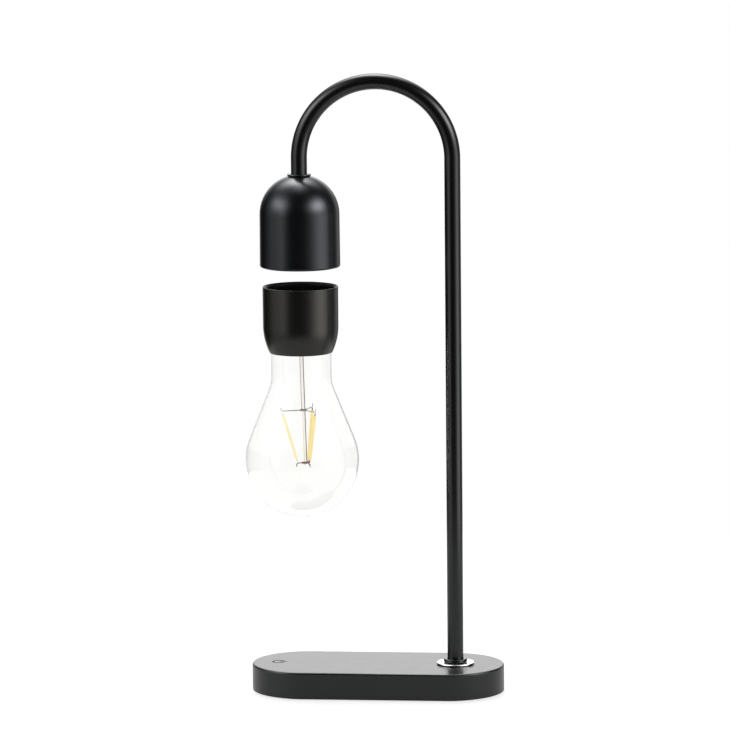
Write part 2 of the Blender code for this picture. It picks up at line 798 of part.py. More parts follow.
def head_cover():
    """The plastic disc in the dome's mouth."""
    radius = dome_inner_radius - SEAT_GAP
    profile = disc_profile(radius, head_cover_bottom, head_cover_top, SEAT_GAP)
    cover = turned_piece("head_cover", profile, DOME_STEPS, closed=False)
    dress(cover, MATT_BLACK)
    return cover


def magnet_bobbin():
    """The electromagnet's bobbin: a tube with a flange at each end."""
    low = bobbin_bottom + BOBBIN_FLANGE_THICKNESS
    high = bobbin_top - BOBBIN_FLANGE_THICKNESS
    profile = [
        (BOBBIN_BORE_RADIUS, bobbin_top),
        (BOBBIN_FLANGE_RADIUS, bobbin_top),
        (BOBBIN_FLANGE_RADIUS, high),
        (BOBBIN_TUBE_RADIUS, high),
        (BOBBIN_TUBE_RADIUS, low),
        (BOBBIN_FLANGE_RADIUS, low),
        (BOBBIN_FLANGE_RADIUS, bobbin_bottom),
        (BOBBIN_BORE_RADIUS, bobbin_bottom),
    ]
    bobbin = turned_piece("magnet_bobbin", profile, INNER_STEPS)
    dress(bobbin, WHITE_NYLON)
    return bobbin


def magnet_winding():
    """The electromagnet's winding, as one ring between the flanges."""
    profile = ring_profile(
        BOBBIN_TUBE_RADIUS + SEAT_GAP,
        BOBBIN_FLANGE_RADIUS - WINDING_INSET,
        bobbin_bottom + BOBBIN_FLANGE_THICKNESS + SEAT_GAP,
        bobbin_top - BOBBIN_FLANGE_THICKNESS - SEAT_GAP,
    )
    winding = turned_piece("magnet_winding", profile, INNER_STEPS)
    dress(winding, COPPER_WIRE)
    return winding


def magnet_core():
    """The electromagnet's iron core, with a flat head on top of the bobbin."""
    foot = bobbin_bottom + SENSOR_THICKNESS + SEAT_GAP
    head_top = core_head_bottom + CORE_HEAD_THICKNESS
    radius = BOBBIN_BORE_RADIUS - SEAT_GAP
    profile = [
        (0, head_top),
        (CORE_HEAD_RADIUS, head_top),
        (CORE_HEAD_RADIUS, core_head_bottom),
        (radius, core_head_bottom),
        (radius, foot),
        (0, foot),
    ]
    core = turned_piece("magnet_core", profile, INNER_STEPS, closed=False)
    dress(core, PLAIN_STEEL)
    return core


def hall_sensor():
    """The distance sensor, in the bobbin's mouth under the core."""
    half = SENSOR_SIDE / 2
    low = (-half, -half, bobbin_bottom)
    high = (half, half, bobbin_bottom + SENSOR_THICKNESS)
    sensor = box_piece("hall_sensor", low, high)
    dress(sensor, MATT_BLACK)
    return sensor


def bias_magnet():
    """The permanent magnet on the core's head."""
    top = bias_magnet_bottom + BIAS_MAGNET_THICKNESS
    magnet = cylinder_piece("bias_magnet", BIAS_MAGNET_RADIUS, bias_magnet_bottom, top, INNER_STEPS)
    dress(magnet, NICKEL_PLATE)
    return magnet


def transmitter_coil():
    """The power coil on the head's cover, round the bobbin."""
    profile = ring_profile(
        BOBBIN_FLANGE_RADIUS + TRANSMITTER_FROM_BOBBIN,
        dome_inner_radius - TRANSMITTER_FROM_WALL,
        bobbin_bottom,
        bobbin_bottom + TRANSMITTER_THICKNESS,
    )
    coil = turned_piece("transmitter_coil", profile, INNER_STEPS)
    dress(coil, COPPER_WIRE)
    return coil


def head_circuit_board():
    """The round board on the permanent magnet, with parts beside the lead."""
    board = cylinder_piece(
        "head_circuit_board", HEAD_BOARD_RADIUS, head_board_bottom, head_board_top, INNER_STEPS
    )
    away = (HEAD_BOARD_RADIUS + LEAD_RADIUS) / 2
    chip = (LEAD_RADIUS, HEAD_BOARD_RADIUS / 2, BOARD_THICKNESS)
    add_chips(board, [(-away, 0), (away, 0)], chip, head_board_top)
    dress(board, GREEN_BOARD)
    return board


def cap_shell():
    """The cup: nearly straight above, drawn in along an arc below, with a ledge for the board."""
    fall = CAP_HEIGHT - CAP_STRAIGHT
    end = math.asin(fall / CAP_CURVE_RADIUS)
    curve_centre = (CAP_WAIST_RADIUS - CAP_CURVE_RADIUS, cap_rim - CAP_STRAIGHT)
    rim_inner = cap_inner_radius + CAP_RIM_EDGE / 2
    profile = [
        (rim_inner, cap_rim),
        (CAP_RIM_RADIUS - CAP_RIM_EDGE, cap_rim),
        (CAP_RIM_RADIUS, cap_rim - CAP_RIM_EDGE),
    ]
    profile += arc(curve_centre, CAP_CURVE_RADIUS, 0, -end, CAP_ARC_STEPS)
    profile += [
        (cap_neck_radius, cap_bottom),
        (cap_neck_radius, cap_ledge),
        (cap_inner_radius, cap_ledge),
        (cap_inner_radius, cap_rim - CAP_RIM_EDGE),
    ]
    cap = turned_piece("cap_shell", profile, CAP_STEPS)
    dress(cap, MATT_BLACK)
    return cap


def cap_cover():
    """The disc in the cup's mouth."""
    radius = cap_inner_radius - SEAT_GAP
    profile = disc_profile(radius, cap_cover_bottom, cap_cover_top, SEAT_GAP)
    cover = turned_piece("cap_cover", profile, CAP_STEPS, closed=False)
    dress(cover, MATT_BLACK)
    return cover


def lift_magnet():
    """The floating magnet."""
    magnet = cylinder_piece("lift_magnet", MAGNET_RADIUS, magnet_bottom, magnet_top, INNER_STEPS)
    dress(magnet, NICKEL_PLATE)
    return magnet


def magnet_holder():
    """The holder: a shallow cup round the magnet."""
    floor = holder_bottom + HOLDER_FLOOR
    bore = MAGNET_RADIUS + SEAT_GAP
    profile = [
        (0, floor),
        (bore, floor),
        (bore, magnet_top),
        (holder_radius, magnet_top),
        (holder_radius, holder_bottom),
        (0, holder_bottom),
    ]
    holder = turned_piece("magnet_holder", profile, INNER_STEPS, closed=False)
    dress(holder, WHITE_NYLON)
    return holder


def receiver_coil():
    """The bulb's power coil, under the cap's cover."""
    top = cap_cover_bottom - SEAT_GAP
    profile = ring_profile(
        holder_radius + RECEIVER_COIL_FROM_HOLDER,
        cap_inner_radius - RECEIVER_COIL_FROM_WALL,
        top - RECEIVER_COIL_THICKNESS,
        top,
    )
    coil = turned_piece("receiver_coil", profile, INNER_STEPS)
    dress(coil, COPPER_WIRE)
    return coil


def receiver_board():
    """The bulb's round circuit board, on the cup's ledge."""
    radius = cap_inner_radius - SEAT_GAP
    bottom = receiver_board_top - BOARD_THICKNESS
    board = cylinder_piece("receiver_board", radius, bottom, receiver_board_top, INNER_STEPS)
    away = (radius + holder_radius) / 2
    chip = (HOLDER_WALL, holder_radius, BOARD_THICKNESS)
    add_chips(board, [(-away, 0), (away, 0)], chip, receiver_board_top)
    dress(board, GREEN_BOARD)
    return board


def glass_profile():
    """The glass outside, down from the neck: a concave shoulder, a cone, and most of a sphere."""
    slope = GLASS_CONE_ANGLE
    rise = GLASS_SPHERE_RADIUS * math.sin(slope)
    tangent = (GLASS_SPHERE_RADIUS * math.cos(slope), glass_centre + rise)
    shoulder_x = GLASS_NECK_RADIUS + GLASS_SHOULDER_RADIUS
    # The shoulder's arc ends where its circle meets the cone's line at a tangent.
    end_x = shoulder_x - GLASS_SHOULDER_RADIUS * math.cos(slope)
    end_z = tangent[1] + (tangent[0] - end_x) / math.tan(slope)
    shoulder_z = end_z + GLASS_SHOULDER_RADIUS * math.sin(slope)
    profile = [(GLASS_NECK_RADIUS, glass_neck_top)]
    shoulder = (shoulder_x, shoulder_z)
    half_turn = math.pi
    profile += arc(
        shoulder, GLASS_SHOULDER_RADIUS, half_turn, half_turn + slope, GLASS_SHOULDER_STEPS
    )
    centre = (0, glass_centre)
    profile += arc(centre, GLASS_SPHERE_RADIUS, slope, -half_turn / 2, GLASS_ARC_STEPS)
    profile[-1] = (0, glass_centre - GLASS_SPHERE_RADIUS)
    return profile


def glass_envelope():
    """The clear bulb, open at the neck."""
    glass = turned_piece("glass_envelope", glass_profile(), GLASS_STEPS, closed=False)
    wall = glass.modifiers.new("Wall", "SOLIDIFY")
    wall.thickness = GLASS_WALL
    wall.offset = -1
    dress(glass, CLEAR_GLASS)
    return glass


def glass_stem():
    """The funnel in the neck, closed at its foot by the glass press."""
    inner_foot = PRESS_RADIUS - FUNNEL_WALL
    profile = [
        (0, press_top),
        (inner_foot, press_top),
        (funnel_radius - FUNNEL_WALL, glass_neck_top),
        (funnel_radius, glass_neck_top),
        (PRESS_RADIUS, press_top),
        (PRESS_RADIUS, press_bottom),
        (0, press_bottom),
    ]
    stem = turned_piece("glass_stem", profile, INNER_STEPS, closed=False)
    dress(stem, CLEAR_GLASS)
    return stem


def bulb_lead(number, side):
    """A wire from the receiver board down to the glass press."""
    x = side * (PRESS_RADIUS - FUNNEL_WALL) / 2
    top = receiver_board_top - BOARD_THICKNESS - SEAT_GAP
    path = [(x, 0, top), (x, 0, press_top + SEAT_GAP)]
    lead = tube_piece(f"bulb_lead_{number}", path, BULB_LEAD_RADIUS, WIRE_RESOLUTION)
    dress(lead, DULL_WIRE)
    return lead


def support_rod():
    """The thin glass rod that carries the filaments."""
    foot = LOWER_STAR_DROP + STAR_HUB_HEIGHT
    rod = cylinder_piece("support_rod", ROD_RADIUS, -foot, 0, FILAMENT_STEPS)
    dress(rod, CLEAR_GLASS)
    return rod


def lead_wire(name, angle, drop):
    """A wire beside the rod, from the press down into a star's hub."""
    x = lead_wire_offset * math.cos(angle)
    y = lead_wire_offset * math.sin(angle)
    wire = tube_piece(name, [(x, y, 0), (x, y, -drop)], WIRE_RADIUS, WIRE_RESOLUTION)
    dress(wire, DULL_WIRE)
    return wire


def star_angle(arm):
    """The direction of a star's arm."""
    return STAR_TURN + math.tau * arm / FILAMENT_COUNT


def on_arm(arm, radius, height):
    """A point over a star's arm."""
    return Vector((radius * math.cos(star_angle(arm)), radius * math.sin(star_angle(arm)), height))


def wire_star(name, drop, radius, tip):
    """A hub round the rod with one arm a filament, each bent at its end by tip."""
    hub_radius = hub_bore_radius + STAR_HUB_WALL
    low = -drop - STAR_HUB_HEIGHT / 2
    profile = ring_profile(hub_bore_radius, hub_radius, low, low + STAR_HUB_HEIGHT)
    star = turned_piece(name, profile, SCREW_STEPS)
    root = hub_radius - STAR_HUB_WALL / 2
    for arm in range(FILAMENT_COUNT):
        path = [
            on_arm(arm, root, -drop),
            on_arm(arm, radius, -drop),
            on_arm(arm, radius + STAR_WIRE_RADIUS, tip - drop),
        ]
        arm_wire = tube_piece(f"{name}_arm_{arm + 1}", path, STAR_WIRE_RADIUS, WIRE_RESOLUTION)
        boolean(star, arm_wire, "UNION")
    dress(star, DULL_WIRE)
    return star


def filament(number):
    """A glowing bar with a thin lug at each end, between the two stars."""
    arm = number - 1
    reach = STAR_WIRE_RADIUS + SEAT_GAP
    inset = FILAMENT_LUG_RADIUS
    top = on_arm(arm, UPPER_STAR_RADIUS - inset, -UPPER_STAR_DROP - reach)
    foot = on_arm(arm, LOWER_STAR_RADIUS - inset, -LOWER_STAR_DROP + reach)
    half = (top - foot).length / 2
    body = half - FILAMENT_LUG
    shoulder = body - FILAMENT_LUG_RADIUS
    profile = [
        (0, half),
        (FILAMENT_LUG_RADIUS, half),
        (FILAMENT_LUG_RADIUS, body),
        (FILAMENT_RADIUS, shoulder),
        (FILAMENT_RADIUS, -shoulder),
        (FILAMENT_LUG_RADIUS, -body),
        (FILAMENT_LUG_RADIUS, -half),
        (0, -half),
    ]
    bar = turned_piece(f"filament_{number}", profile, FILAMENT_STEPS, closed=False)
    bar.location = (top + foot) / 2
    bar.rotation_mode = "QUATERNION"
    bar.rotation_quaternion = (top - foot).to_track_quat("Z", "Y")
    dress(bar, FILAMENT_YELLOW)
    return bar


def make_base():
    """Every piece of the base, in world places."""
    base_shell()
    base_plate()
    foot_pad()
    for number, (x, y) in enumerate(screw_places(), 1):
        base_screw(number, x, y)
    ballast_weight()
    charging_coil()
    coil_ferrite()
    touch_electrode()
    base_circuit_board()
    power_socket()
    power_socket_pin()


def make_stem():
    """The tube with what passes through it and what holds it."""
    stem_tube()
    stem_lead()
    stem_washer()
    washer_top = base_top + SEAT_GAP + STEM_WASHER_THICKNESS
    collar("stem_collar", stem_x, washer_top + SEAT_GAP, STEM_COLLAR_THICKNESS)
    stem_lock_washer()
    locknut("stem_locknut", stem_x, lock_washer_bottom - SEAT_GAP - NUT_THICKNESS)
    collar("head_collar", bulb_x, head_collar_bottom, HEAD_COLLAR_THICKNESS)
    locknut("head_locknut", bulb_x, head_nut_bottom)


def new_empty(name, parent, position):
    """An empty that carries pieces, at a world position."""
    empty = bpy.data.objects.new(name, None)
    lamp_collection.objects.link(empty)
    empty.location = position
    if parent:
        place(empty, parent, position)
    return empty


def carry_operands(pieces, empty):
    """Puts what Booleans join to some pieces under the same empty, at the same place."""
    for piece in pieces:
        for step in piece.modifiers:
            if step.type == "BOOLEAN":
                step.object.parent = empty
                step.object.location = piece.location


def make_head():
    """The head's pieces, on the bulb's axis."""
    axis = new_empty("head_axis", None, (bulb_x, 0, 0))
    pieces = [
        head_shell(),
        head_cover(),
        magnet_bobbin(),
        magnet_winding(),
        magnet_core(),
        hall_sensor(),
        bias_magnet(),
        transmitter_coil(),
        head_circuit_board(),
    ]
    for piece in pieces:
        piece.parent = axis
    carry_operands(pieces, axis)


def make_bulb():
    """The floating bulb's pieces, under an empty at the middle of its magnet."""
    pivot = new_empty("bulb_pivot", None, (bulb_x, 0, pivot_height))
    pieces = [
        lift_magnet(),
        magnet_holder(),
        receiver_coil(),
        receiver_board(),
        cap_shell(),
        cap_cover(),
        glass_envelope(),
        glass_stem(),
        bulb_lead(1, -1),
        bulb_lead(2, 1),
    ]
    for piece in pieces:
        place(piece, pivot, (bulb_x, 0, 0))
    carry_operands(pieces, pivot)
    make_filament_mount(pivot)


def make_filament_mount(pivot):
    """The rod, wires, stars and filaments, which hang a little askew from the glass press."""
    mount = new_empty("filament_mount", pivot, (bulb_x, 0, press_bottom - SEAT_GAP))
    mount.rotation_euler.y = MOUNT_TILT
    pieces = [
        support_rod(),
        lead_wire("upper_lead_wire", math.pi - LEAD_WIRE_ANGLE, UPPER_STAR_DROP),
        lead_wire("lower_lead_wire", LEAD_WIRE_ANGLE, LOWER_STAR_DROP),
        wire_star("upper_wire_star", UPPER_STAR_DROP, UPPER_STAR_RADIUS, STAR_TIP),
        wire_star("lower_wire_star", LOWER_STAR_DROP, LOWER_STAR_RADIUS, -STAR_TIP),
    ]
    pieces += [filament(number) for number in range(1, FILAMENT_COUNT + 1)]
    for piece in pieces:
        piece.parent = mount
    carry_operands(pieces, mount)


clear_scene()
scene_root = bpy.context.scene.collection
lamp_collection = new_collection("levitating_table_lamp", scene_root)
cutter_collection = new_collection("cutters", scene_root)
make_base()
make_stem()
make_head()
make_bulb()
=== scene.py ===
"""Looks of a levitating table lamp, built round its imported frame.

Metres, +Z up, in the frame's own place: the origin is under the middle of the base,
+X runs towards the stem, and -Y is the front.
"""

import logging
import math
from collections.abc import Sequence
from dataclasses import dataclass, replace
from enum import Enum

import bmesh
import bpy
import numpy as np
from mathutils import Matrix, Vector


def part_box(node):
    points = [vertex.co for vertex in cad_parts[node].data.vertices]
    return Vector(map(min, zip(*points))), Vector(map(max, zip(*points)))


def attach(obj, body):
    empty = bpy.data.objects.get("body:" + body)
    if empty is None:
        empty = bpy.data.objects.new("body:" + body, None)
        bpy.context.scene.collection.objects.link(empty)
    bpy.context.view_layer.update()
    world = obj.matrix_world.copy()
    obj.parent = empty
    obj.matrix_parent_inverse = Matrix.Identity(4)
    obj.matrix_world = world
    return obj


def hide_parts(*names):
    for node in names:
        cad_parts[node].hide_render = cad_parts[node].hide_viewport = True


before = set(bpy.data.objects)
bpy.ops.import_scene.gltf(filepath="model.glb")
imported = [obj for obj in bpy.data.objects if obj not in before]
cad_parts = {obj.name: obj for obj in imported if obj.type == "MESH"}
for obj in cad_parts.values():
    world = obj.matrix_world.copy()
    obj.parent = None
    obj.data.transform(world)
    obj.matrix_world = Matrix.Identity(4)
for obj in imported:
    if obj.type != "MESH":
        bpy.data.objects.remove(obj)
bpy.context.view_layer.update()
log = logging.getLogger("lamp")

WELD_DISTANCE = 1e-7
SHARP_ANGLE = math.radians(35)
SEAT_GAP = 0.0003
HALF_TURN = math.pi
RIGHT_ANGLE = math.pi / 2
DOME_STEPS = 5
BULB_X = -0.0456
STEM_X = 0.0477
STEM_BORE = 0.00505

Corner = tuple[float, float, float]
Place = tuple[float, float]


class Relief(Enum):
    """The fine relief of a surface."""

    PEEL = "paint with a soft ripple"
    MOULD = "fine grain from a mould"
    TURNED = "rings left by a lathe"
    ROLLED = "marks drawn out along the piece"


@dataclass(frozen=True)
class Surface:
    """Points, the four-sided faces that join them, and each point's share of the way along its piece."""

    points: np.ndarray
    faces: np.ndarray
    along: np.ndarray

    def __add__(self, other: "Surface") -> "Surface":
        """Both surfaces as one."""
        return Surface(
            np.concatenate([self.points, other.points]),
            np.concatenate([self.faces, other.faces + len(self.points)]),
            np.concatenate([self.along, other.along]),
        )

    def placed(self, place: Matrix) -> "Surface":
        """The surface carried by a matrix."""
        carried = np.array(place)
        return Surface(self.points @ carried[:3, :3].T + carried[:3, 3], self.faces, self.along)


def grid(points: np.ndarray, wrap_rows: bool, keep: np.ndarray | None = None) -> Surface:
    """Joins rows of points with quads. Each row is a closed ring.

    Args:
        points: the points, as rows x columns x 3.
        wrap_rows: True if the last row joins the first one.
        keep: which quads to make, as rows x columns, or None for all.

    Returns:
        The surface.
    """
    rows, columns = points.shape[:2]
    index = np.arange(rows * columns).reshape(rows, columns)
    if wrap_rows:
        index = np.concatenate([index, index[:1]])
    index = np.concatenate([index, index[:, :1]], axis=1)
    quads = np.stack([index[:-1, :-1], index[1:, :-1], index[1:, 1:], index[:-1, 1:]], axis=-1)
    quads = quads.reshape(-1, 4) if keep is None else quads[keep]
    along = np.repeat(np.linspace(0, 1, rows), columns)
    return Surface(points.reshape(-1, 3), quads, along)


def turned(profile: np.ndarray, steps: int, axis: Place = (0.0, 0.0), closed: bool = True) -> Surface:
    """Sweeps a profile round an upright axis.

    A profile point (r, z) at angle a becomes (axis x + r cos a, axis y + r sin a, z).

    Args:
        profile: points (radius, height), in order along the profile.
        steps: how many points a ring has.
        axis: where the axis stands.
        closed: True if the profile's last point joins its first one.

    Returns:
        The surface.
    """
    angles = np.linspace(0, math.tau, steps, endpoint=False)
    radius, height = profile[:, :1], profile[:, 1:]
    x = axis[0] + radius * np.cos(angles)
    y = axis[1] + radius * np.sin(angles)
    return grid(np.stack([x, y, height + 0 * angles], axis=-1), closed)


def arc(centre: Place, radius: float, start: float, end: float, steps: int) -> np.ndarray:
    """Points centre + radius (cos a, sin a), with a from start to end in radians."""
    angles = np.linspace(start, end, steps + 1)
    return np.stack([centre[0] + radius * np.cos(angles), centre[1] + radius * np.sin(angles)], axis=-1)


def sharp(points: np.ndarray) -> list[Corner]:
    """Points as corners that rounded() leaves alone."""
    return [(float(x), float(y), 0.0) for x, y in points]


def rounded(corners: Sequence[Corner], steps: int = 6, hold: float = 0.0002) -> np.ndarray:
    """Turns a polygon's corners into arcs.

    A corner's arc touches both its sides. A point one hold beyond each end of the arc keeps
    the shading of the flat sides flat.

    Args:
        corners: (x, y, radius) of each corner in order; radius 0 leaves a corner alone.
        steps: segments in each arc.
        hold: how far the holding points lie from the arc.

    Returns:
        The points, as n x 2.
    """
    made = []
    for number, (x, y, radius) in enumerate(corners):
        here = np.array((x, y))
        if not radius:
            made.append(here[None])
            continue
        to_last = np.array(corners[number - 1][:2]) - here
        to_next = np.array(corners[(number + 1) % len(corners)][:2]) - here
        sides = np.linalg.norm(to_last), np.linalg.norm(to_next)
        to_last, to_next = to_last / sides[0], to_next / sides[1]
        half = math.acos(float(np.clip(to_last @ to_next, -1, 1))) / 2
        reach = radius / math.tan(half)
        middle = (to_last + to_next) / np.linalg.norm(to_last + to_next)
        centre = here + middle * radius / math.sin(half)
        turn = HALF_TURN - 2 * half
        share = np.linspace(0, 1, steps + 1)[:, None]
        first, last = here + to_last * reach - centre, here + to_next * reach - centre
        bend = (np.sin((1 - share) * turn) * first + np.sin(share * turn) * last) / math.sin(turn)
        holds = [reach + min(hold, (side - reach) / 4) for side in sides]
        made += [(here + to_last * holds[0])[None], centre + bend, (here + to_next * holds[1])[None]]
    return np.concatenate(made)


def swept(path: np.ndarray, side: Sequence[float], radii: Place, steps: int) -> Surface:
    """Carries an ellipse along a flat path, and domes its ends.

    The section's point at angle a is path + k (side r0 cos a + across r1 sin a), where across
    is side x tangent. k is 1 but at the ends, where the piece goes on by r1 sin b while k falls
    as cos b.

    Args:
        path: the centreline, as n x 3, in a plane square to side.
        side: the plane's unit normal.
        radii: half the section's width along side, and across it.
        steps: points round a section.

    Returns:
        A closed surface.
    """
    side = np.array(side, float)
    tangent = np.gradient(path, axis=0)
    tangent /= np.linalg.norm(tangent, axis=1, keepdims=True)
    lift = np.linspace(0, RIGHT_ANGLE, DOME_STEPS + 1)[1:]
    out, scale = radii[1] * np.sin(lift)[:, None], np.cos(lift)
    path = np.concatenate([path[0] - tangent[0] * out[::-1], path, path[-1] + tangent[-1] * out])
    scale = np.concatenate([scale[::-1], np.ones(len(tangent)), scale])
    first, last = np.repeat(tangent[:1], len(out), 0), np.repeat(tangent[-1:], len(out), 0)
    tangent = np.concatenate([first, tangent, last])
    across = np.cross(side, tangent)
    angles = np.linspace(0, math.tau, steps, endpoint=False)[None, :, None]
    ring = side * radii[0] * np.cos(angles) + across[:, None] * radii[1] * np.sin(angles)
    return grid(path[:, None] + ring * scale[:, None, None], False)


def pill(length: float, width: float, arc_steps: int, straight_steps: int) -> tuple[np.ndarray, np.ndarray]:
    """An outline of two half circles joined by straight sides.

    Args:
        length: overall length along X.
        width: overall width along Y.
        arc_steps: segments round each end.
        straight_steps: segments along each side.

    Returns:
        The points, and the outward unit normal at each.
    """
    half = (length - width) / 2
    turn = np.linspace(-RIGHT_ANGLE, RIGHT_ANGLE, arc_steps + 1)
    run = np.linspace(half, -half, straight_steps + 1)[1:-1]
    angles = np.concatenate([turn, np.full(run.shape, RIGHT_ANGLE), turn + HALF_TURN])
    angles = np.concatenate([angles, np.full(run.shape, -RIGHT_ANGLE)])
    middle = np.concatenate([np.full(turn.shape, half), run, np.full(turn.shape, -half), -run])
    outward = np.stack([np.cos(angles), np.sin(angles)], axis=-1)
    return outward * width / 2 + np.stack([middle, 0 * middle], axis=-1), outward


class Sketch:
    """A material's nodes, written as short calls."""

    def __init__(self, name: str) -> None:
        """Starts a material with one Principled shader, and its Object coordinates."""
        self.material = bpy.data.materials.new(name)
        self.material.use_nodes = True
        self.tree = self.material.node_tree
        self.shader = self.tree.nodes["Principled BSDF"]
        self.place = self.node("ShaderNodeTexCoord").outputs["Object"]

    def node(self, kind: str, inputs: dict | None = None, **settings: object) -> bpy.types.Node:
        """Adds a node.

        Args:
            kind: Blender's name of the node type.
            inputs: socket name or number to a value, or to the socket that feeds it.
            settings: the node's own properties.

        Returns:
            The node.
        """
        made = self.tree.nodes.new(kind)
        for name, value in settings.items():
            setattr(made, name, value)
        for name, value in (inputs or {}).items():
            self.feed(made.inputs[name], value)
        return made

    def feed(self, socket: bpy.types.NodeSocket, value: object) -> None:
        """Gives a socket a value, or links the socket that feeds it."""
        if isinstance(value, bpy.types.NodeSocket):
            self.tree.links.new(value, socket)
        else:
            socket.default_value = value

    def set(self, **values: object) -> None:
        """Gives the shader's sockets values or links; an underscore stands for a space."""
        for name, value in values.items():
            self.feed(self.shader.inputs[name.replace("_", " ")], value)

    def noise(self, size: float, detail: float = 2.0, place: object = None) -> bpy.types.NodeSocket:
        """Soft noise whose lumps are about size across."""
        inputs = {"Vector": place or self.place, "Scale": 1 / size, "Detail": detail}
        return self.node("ShaderNodeTexNoise", inputs).outputs["Fac"]

    def spread(self, value: object, low: float, high: float, start: float = 0.3, end: float = 0.7) -> object:
        """Maps start..end of a value onto low..high."""
        inputs = {"Value": value, "From Min": start, "From Max": end, "To Min": low, "To Max": high}
        return self.node("ShaderNodeMapRange", inputs).outputs["Result"]

    def sum(self, operation: str, first: object, second: object = 0.0) -> bpy.types.NodeSocket:
        """One step of arithmetic on two values."""
        return self.node("ShaderNodeMath", {0: first, 1: second}, operation=operation).outputs[0]

    def blend(self, share: object, first: object, second: object) -> bpy.types.NodeSocket:
        """Mixes two colours by a share."""
        made = self.node("ShaderNodeMix", data_type="RGBA")
        named = {socket.identifier: socket for socket in made.inputs}
        for name, value in zip(("Factor_Float", "A_Color", "B_Color"), (share, first, second)):
            self.feed(named[name], value)
        return next(socket for socket in made.outputs if socket.identifier == "Result_Color")

    def stretched(self, axis: Place, scale: tuple[float, float, float]) -> bpy.types.NodeSocket:
        """Object coordinates moved to an axis and scaled."""
        inputs = {"Vector": self.place, "Location": (-axis[0], -axis[1], 0)}
        moved = self.node("ShaderNodeMapping", inputs).outputs[0]
        return self.node("ShaderNodeMapping", {"Vector": moved, "Scale": scale}).outputs[0]

    def radius(self, axis: Place) -> bpy.types.NodeSocket:
        """Distance from an upright axis."""
        flat = self.stretched(axis, (1, 1, 0))
        return self.node("ShaderNodeVectorMath", {0: flat}, operation="LENGTH").outputs["Value"]

    def bump(self, height: object, depth: float) -> None:
        """Raises the surface by a height of 0 to 1, times depth."""
        made = self.node("ShaderNodeBump", {"Height": height, "Distance": depth})
        self.set(Normal=made.outputs[0])


def tint(colour: Sequence[float], share: float = 1.0) -> tuple[float, float, float, float]:
    """A colour made lighter or darker by a share, with full alpha."""
    return (*(min(1.0, part * share) for part in colour), 1.0)


@dataclass(frozen=True)
class Finish:
    """An opaque surface: its colour and how far that varies, its roughness, its relief, and a tint on its
    reflections that paints the colour of the light into its highlights.
    """

    slot: str
    colour: tuple[float, float, float]
    roughness: float
    metallic: float = 0.0
    relief: Relief = Relief.MOULD
    grain: float = 0.0003
    depth: float = 0.000004
    variation: float = 0.15
    patch: float = 0.012
    gloss_variation: float = 0.04
    specular: float = 0.5
    # Painted light: a tint on the reflections that stands in for the colour of the light, cool on the dome and
    # warm on the cup.
    painted_light_tint: tuple[float, float, float] = (1.0, 1.0, 1.0)

    def relief_height(self, sketch: Sketch, axis: Place) -> bpy.types.NodeSocket:
        """The relief as a height of 0 to 1."""
        if self.relief is Relief.TURNED:
            rings = sketch.sum("DIVIDE", sketch.radius(axis), self.grain)
            made = sketch.node("ShaderNodeTexNoise", {"W": rings, "Scale": 1.0}, noise_dimensions="1D")
            return made.outputs["Fac"]
        if self.relief is Relief.ROLLED:
            return sketch.noise(self.grain, 3.0, sketch.stretched(axis, (0.06, 1, 1)))
        return sketch.noise(self.grain, 1.0 if self.relief is Relief.PEEL else 3.0)

    def material(self, name: str, axis: Place) -> bpy.types.Material:
        """Makes the material for one piece.

        Args:
            name: the piece's name.
            axis: the upright axis that turned marks run round.

        Returns:
            The material.
        """
        sketch = Sketch(name)
        patches = sketch.noise(self.patch, 4.0)
        dark, light = tint(self.colour, 1 - self.variation), tint(self.colour, 1 + self.variation)
        low, high = self.roughness - self.gloss_variation, self.roughness + self.gloss_variation
        sketch.set(
            Base_Color=sketch.blend(sketch.spread(patches, 0, 1), dark, light),
            Roughness=sketch.spread(sketch.noise(self.patch / 3, 3.0), low, high),
            Metallic=self.metallic,
            Specular_IOR_Level=self.specular,
            # The reflections take the painted light tint.
            Specular_Tint=tint(self.painted_light_tint),
        )
        sketch.bump(self.relief_height(sketch, axis), self.depth)
        return sketch.material


@dataclass(frozen=True)
class BoardFinish(Finish):
    """A circuit board: green resist over tracks, with black parts standing on it."""

    top: float = 0.0
    parts: tuple[float, float, float] = (0.02, 0.02, 0.022)

    def material(self, name: str, axis: Place) -> bpy.types.Material:
        """Makes the material; see Finish."""
        sketch = Sketch(name)
        inputs = {"Vector": sketch.place, "Scale": 260.0, "Mortar Size": 0.09, "Bias": 0.0}
        inputs.update({"Color1": tint(self.colour), "Color2": tint(self.colour, 0.8)})
        inputs["Mortar"] = tint(self.colour, 2.2)
        tracks = sketch.node("ShaderNodeTexBrick", inputs, offset=0.35).outputs["Color"]
        height = sketch.node("ShaderNodeSeparateXYZ", {0: sketch.place}).outputs["Z"]
        raised = sketch.sum("GREATER_THAN", height, self.top + SEAT_GAP / 3)
        sketch.set(
            Base_Color=sketch.blend(raised, tracks, tint(self.parts)),
            Roughness=sketch.spread(sketch.noise(self.patch), 0.3, 0.5),
            Metallic=self.metallic,
        )
        sketch.bump(sketch.noise(self.grain), self.depth)
        return sketch.material


@dataclass(frozen=True)
class GlassFinish:
    """Clear blown glass, with a faint tint and slow ripples."""

    slot: str = "clear_glass"
    colour: tuple[float, float, float] = (0.994, 0.995, 0.985)
    ior: float = 1.34
    ripple: float = 0.012
    depth: float = 0.00002

    def material(self, name: str, axis: Place) -> bpy.types.Material:
        """Makes the material; see Finish."""
        sketch = Sketch(name)
        sketch.set(Base_Color=tint(self.colour), Roughness=0.0, IOR=self.ior, Transmission_Weight=1.0)
        sketch.bump(sketch.noise(self.ripple, 1.0), self.depth)
        return sketch.material


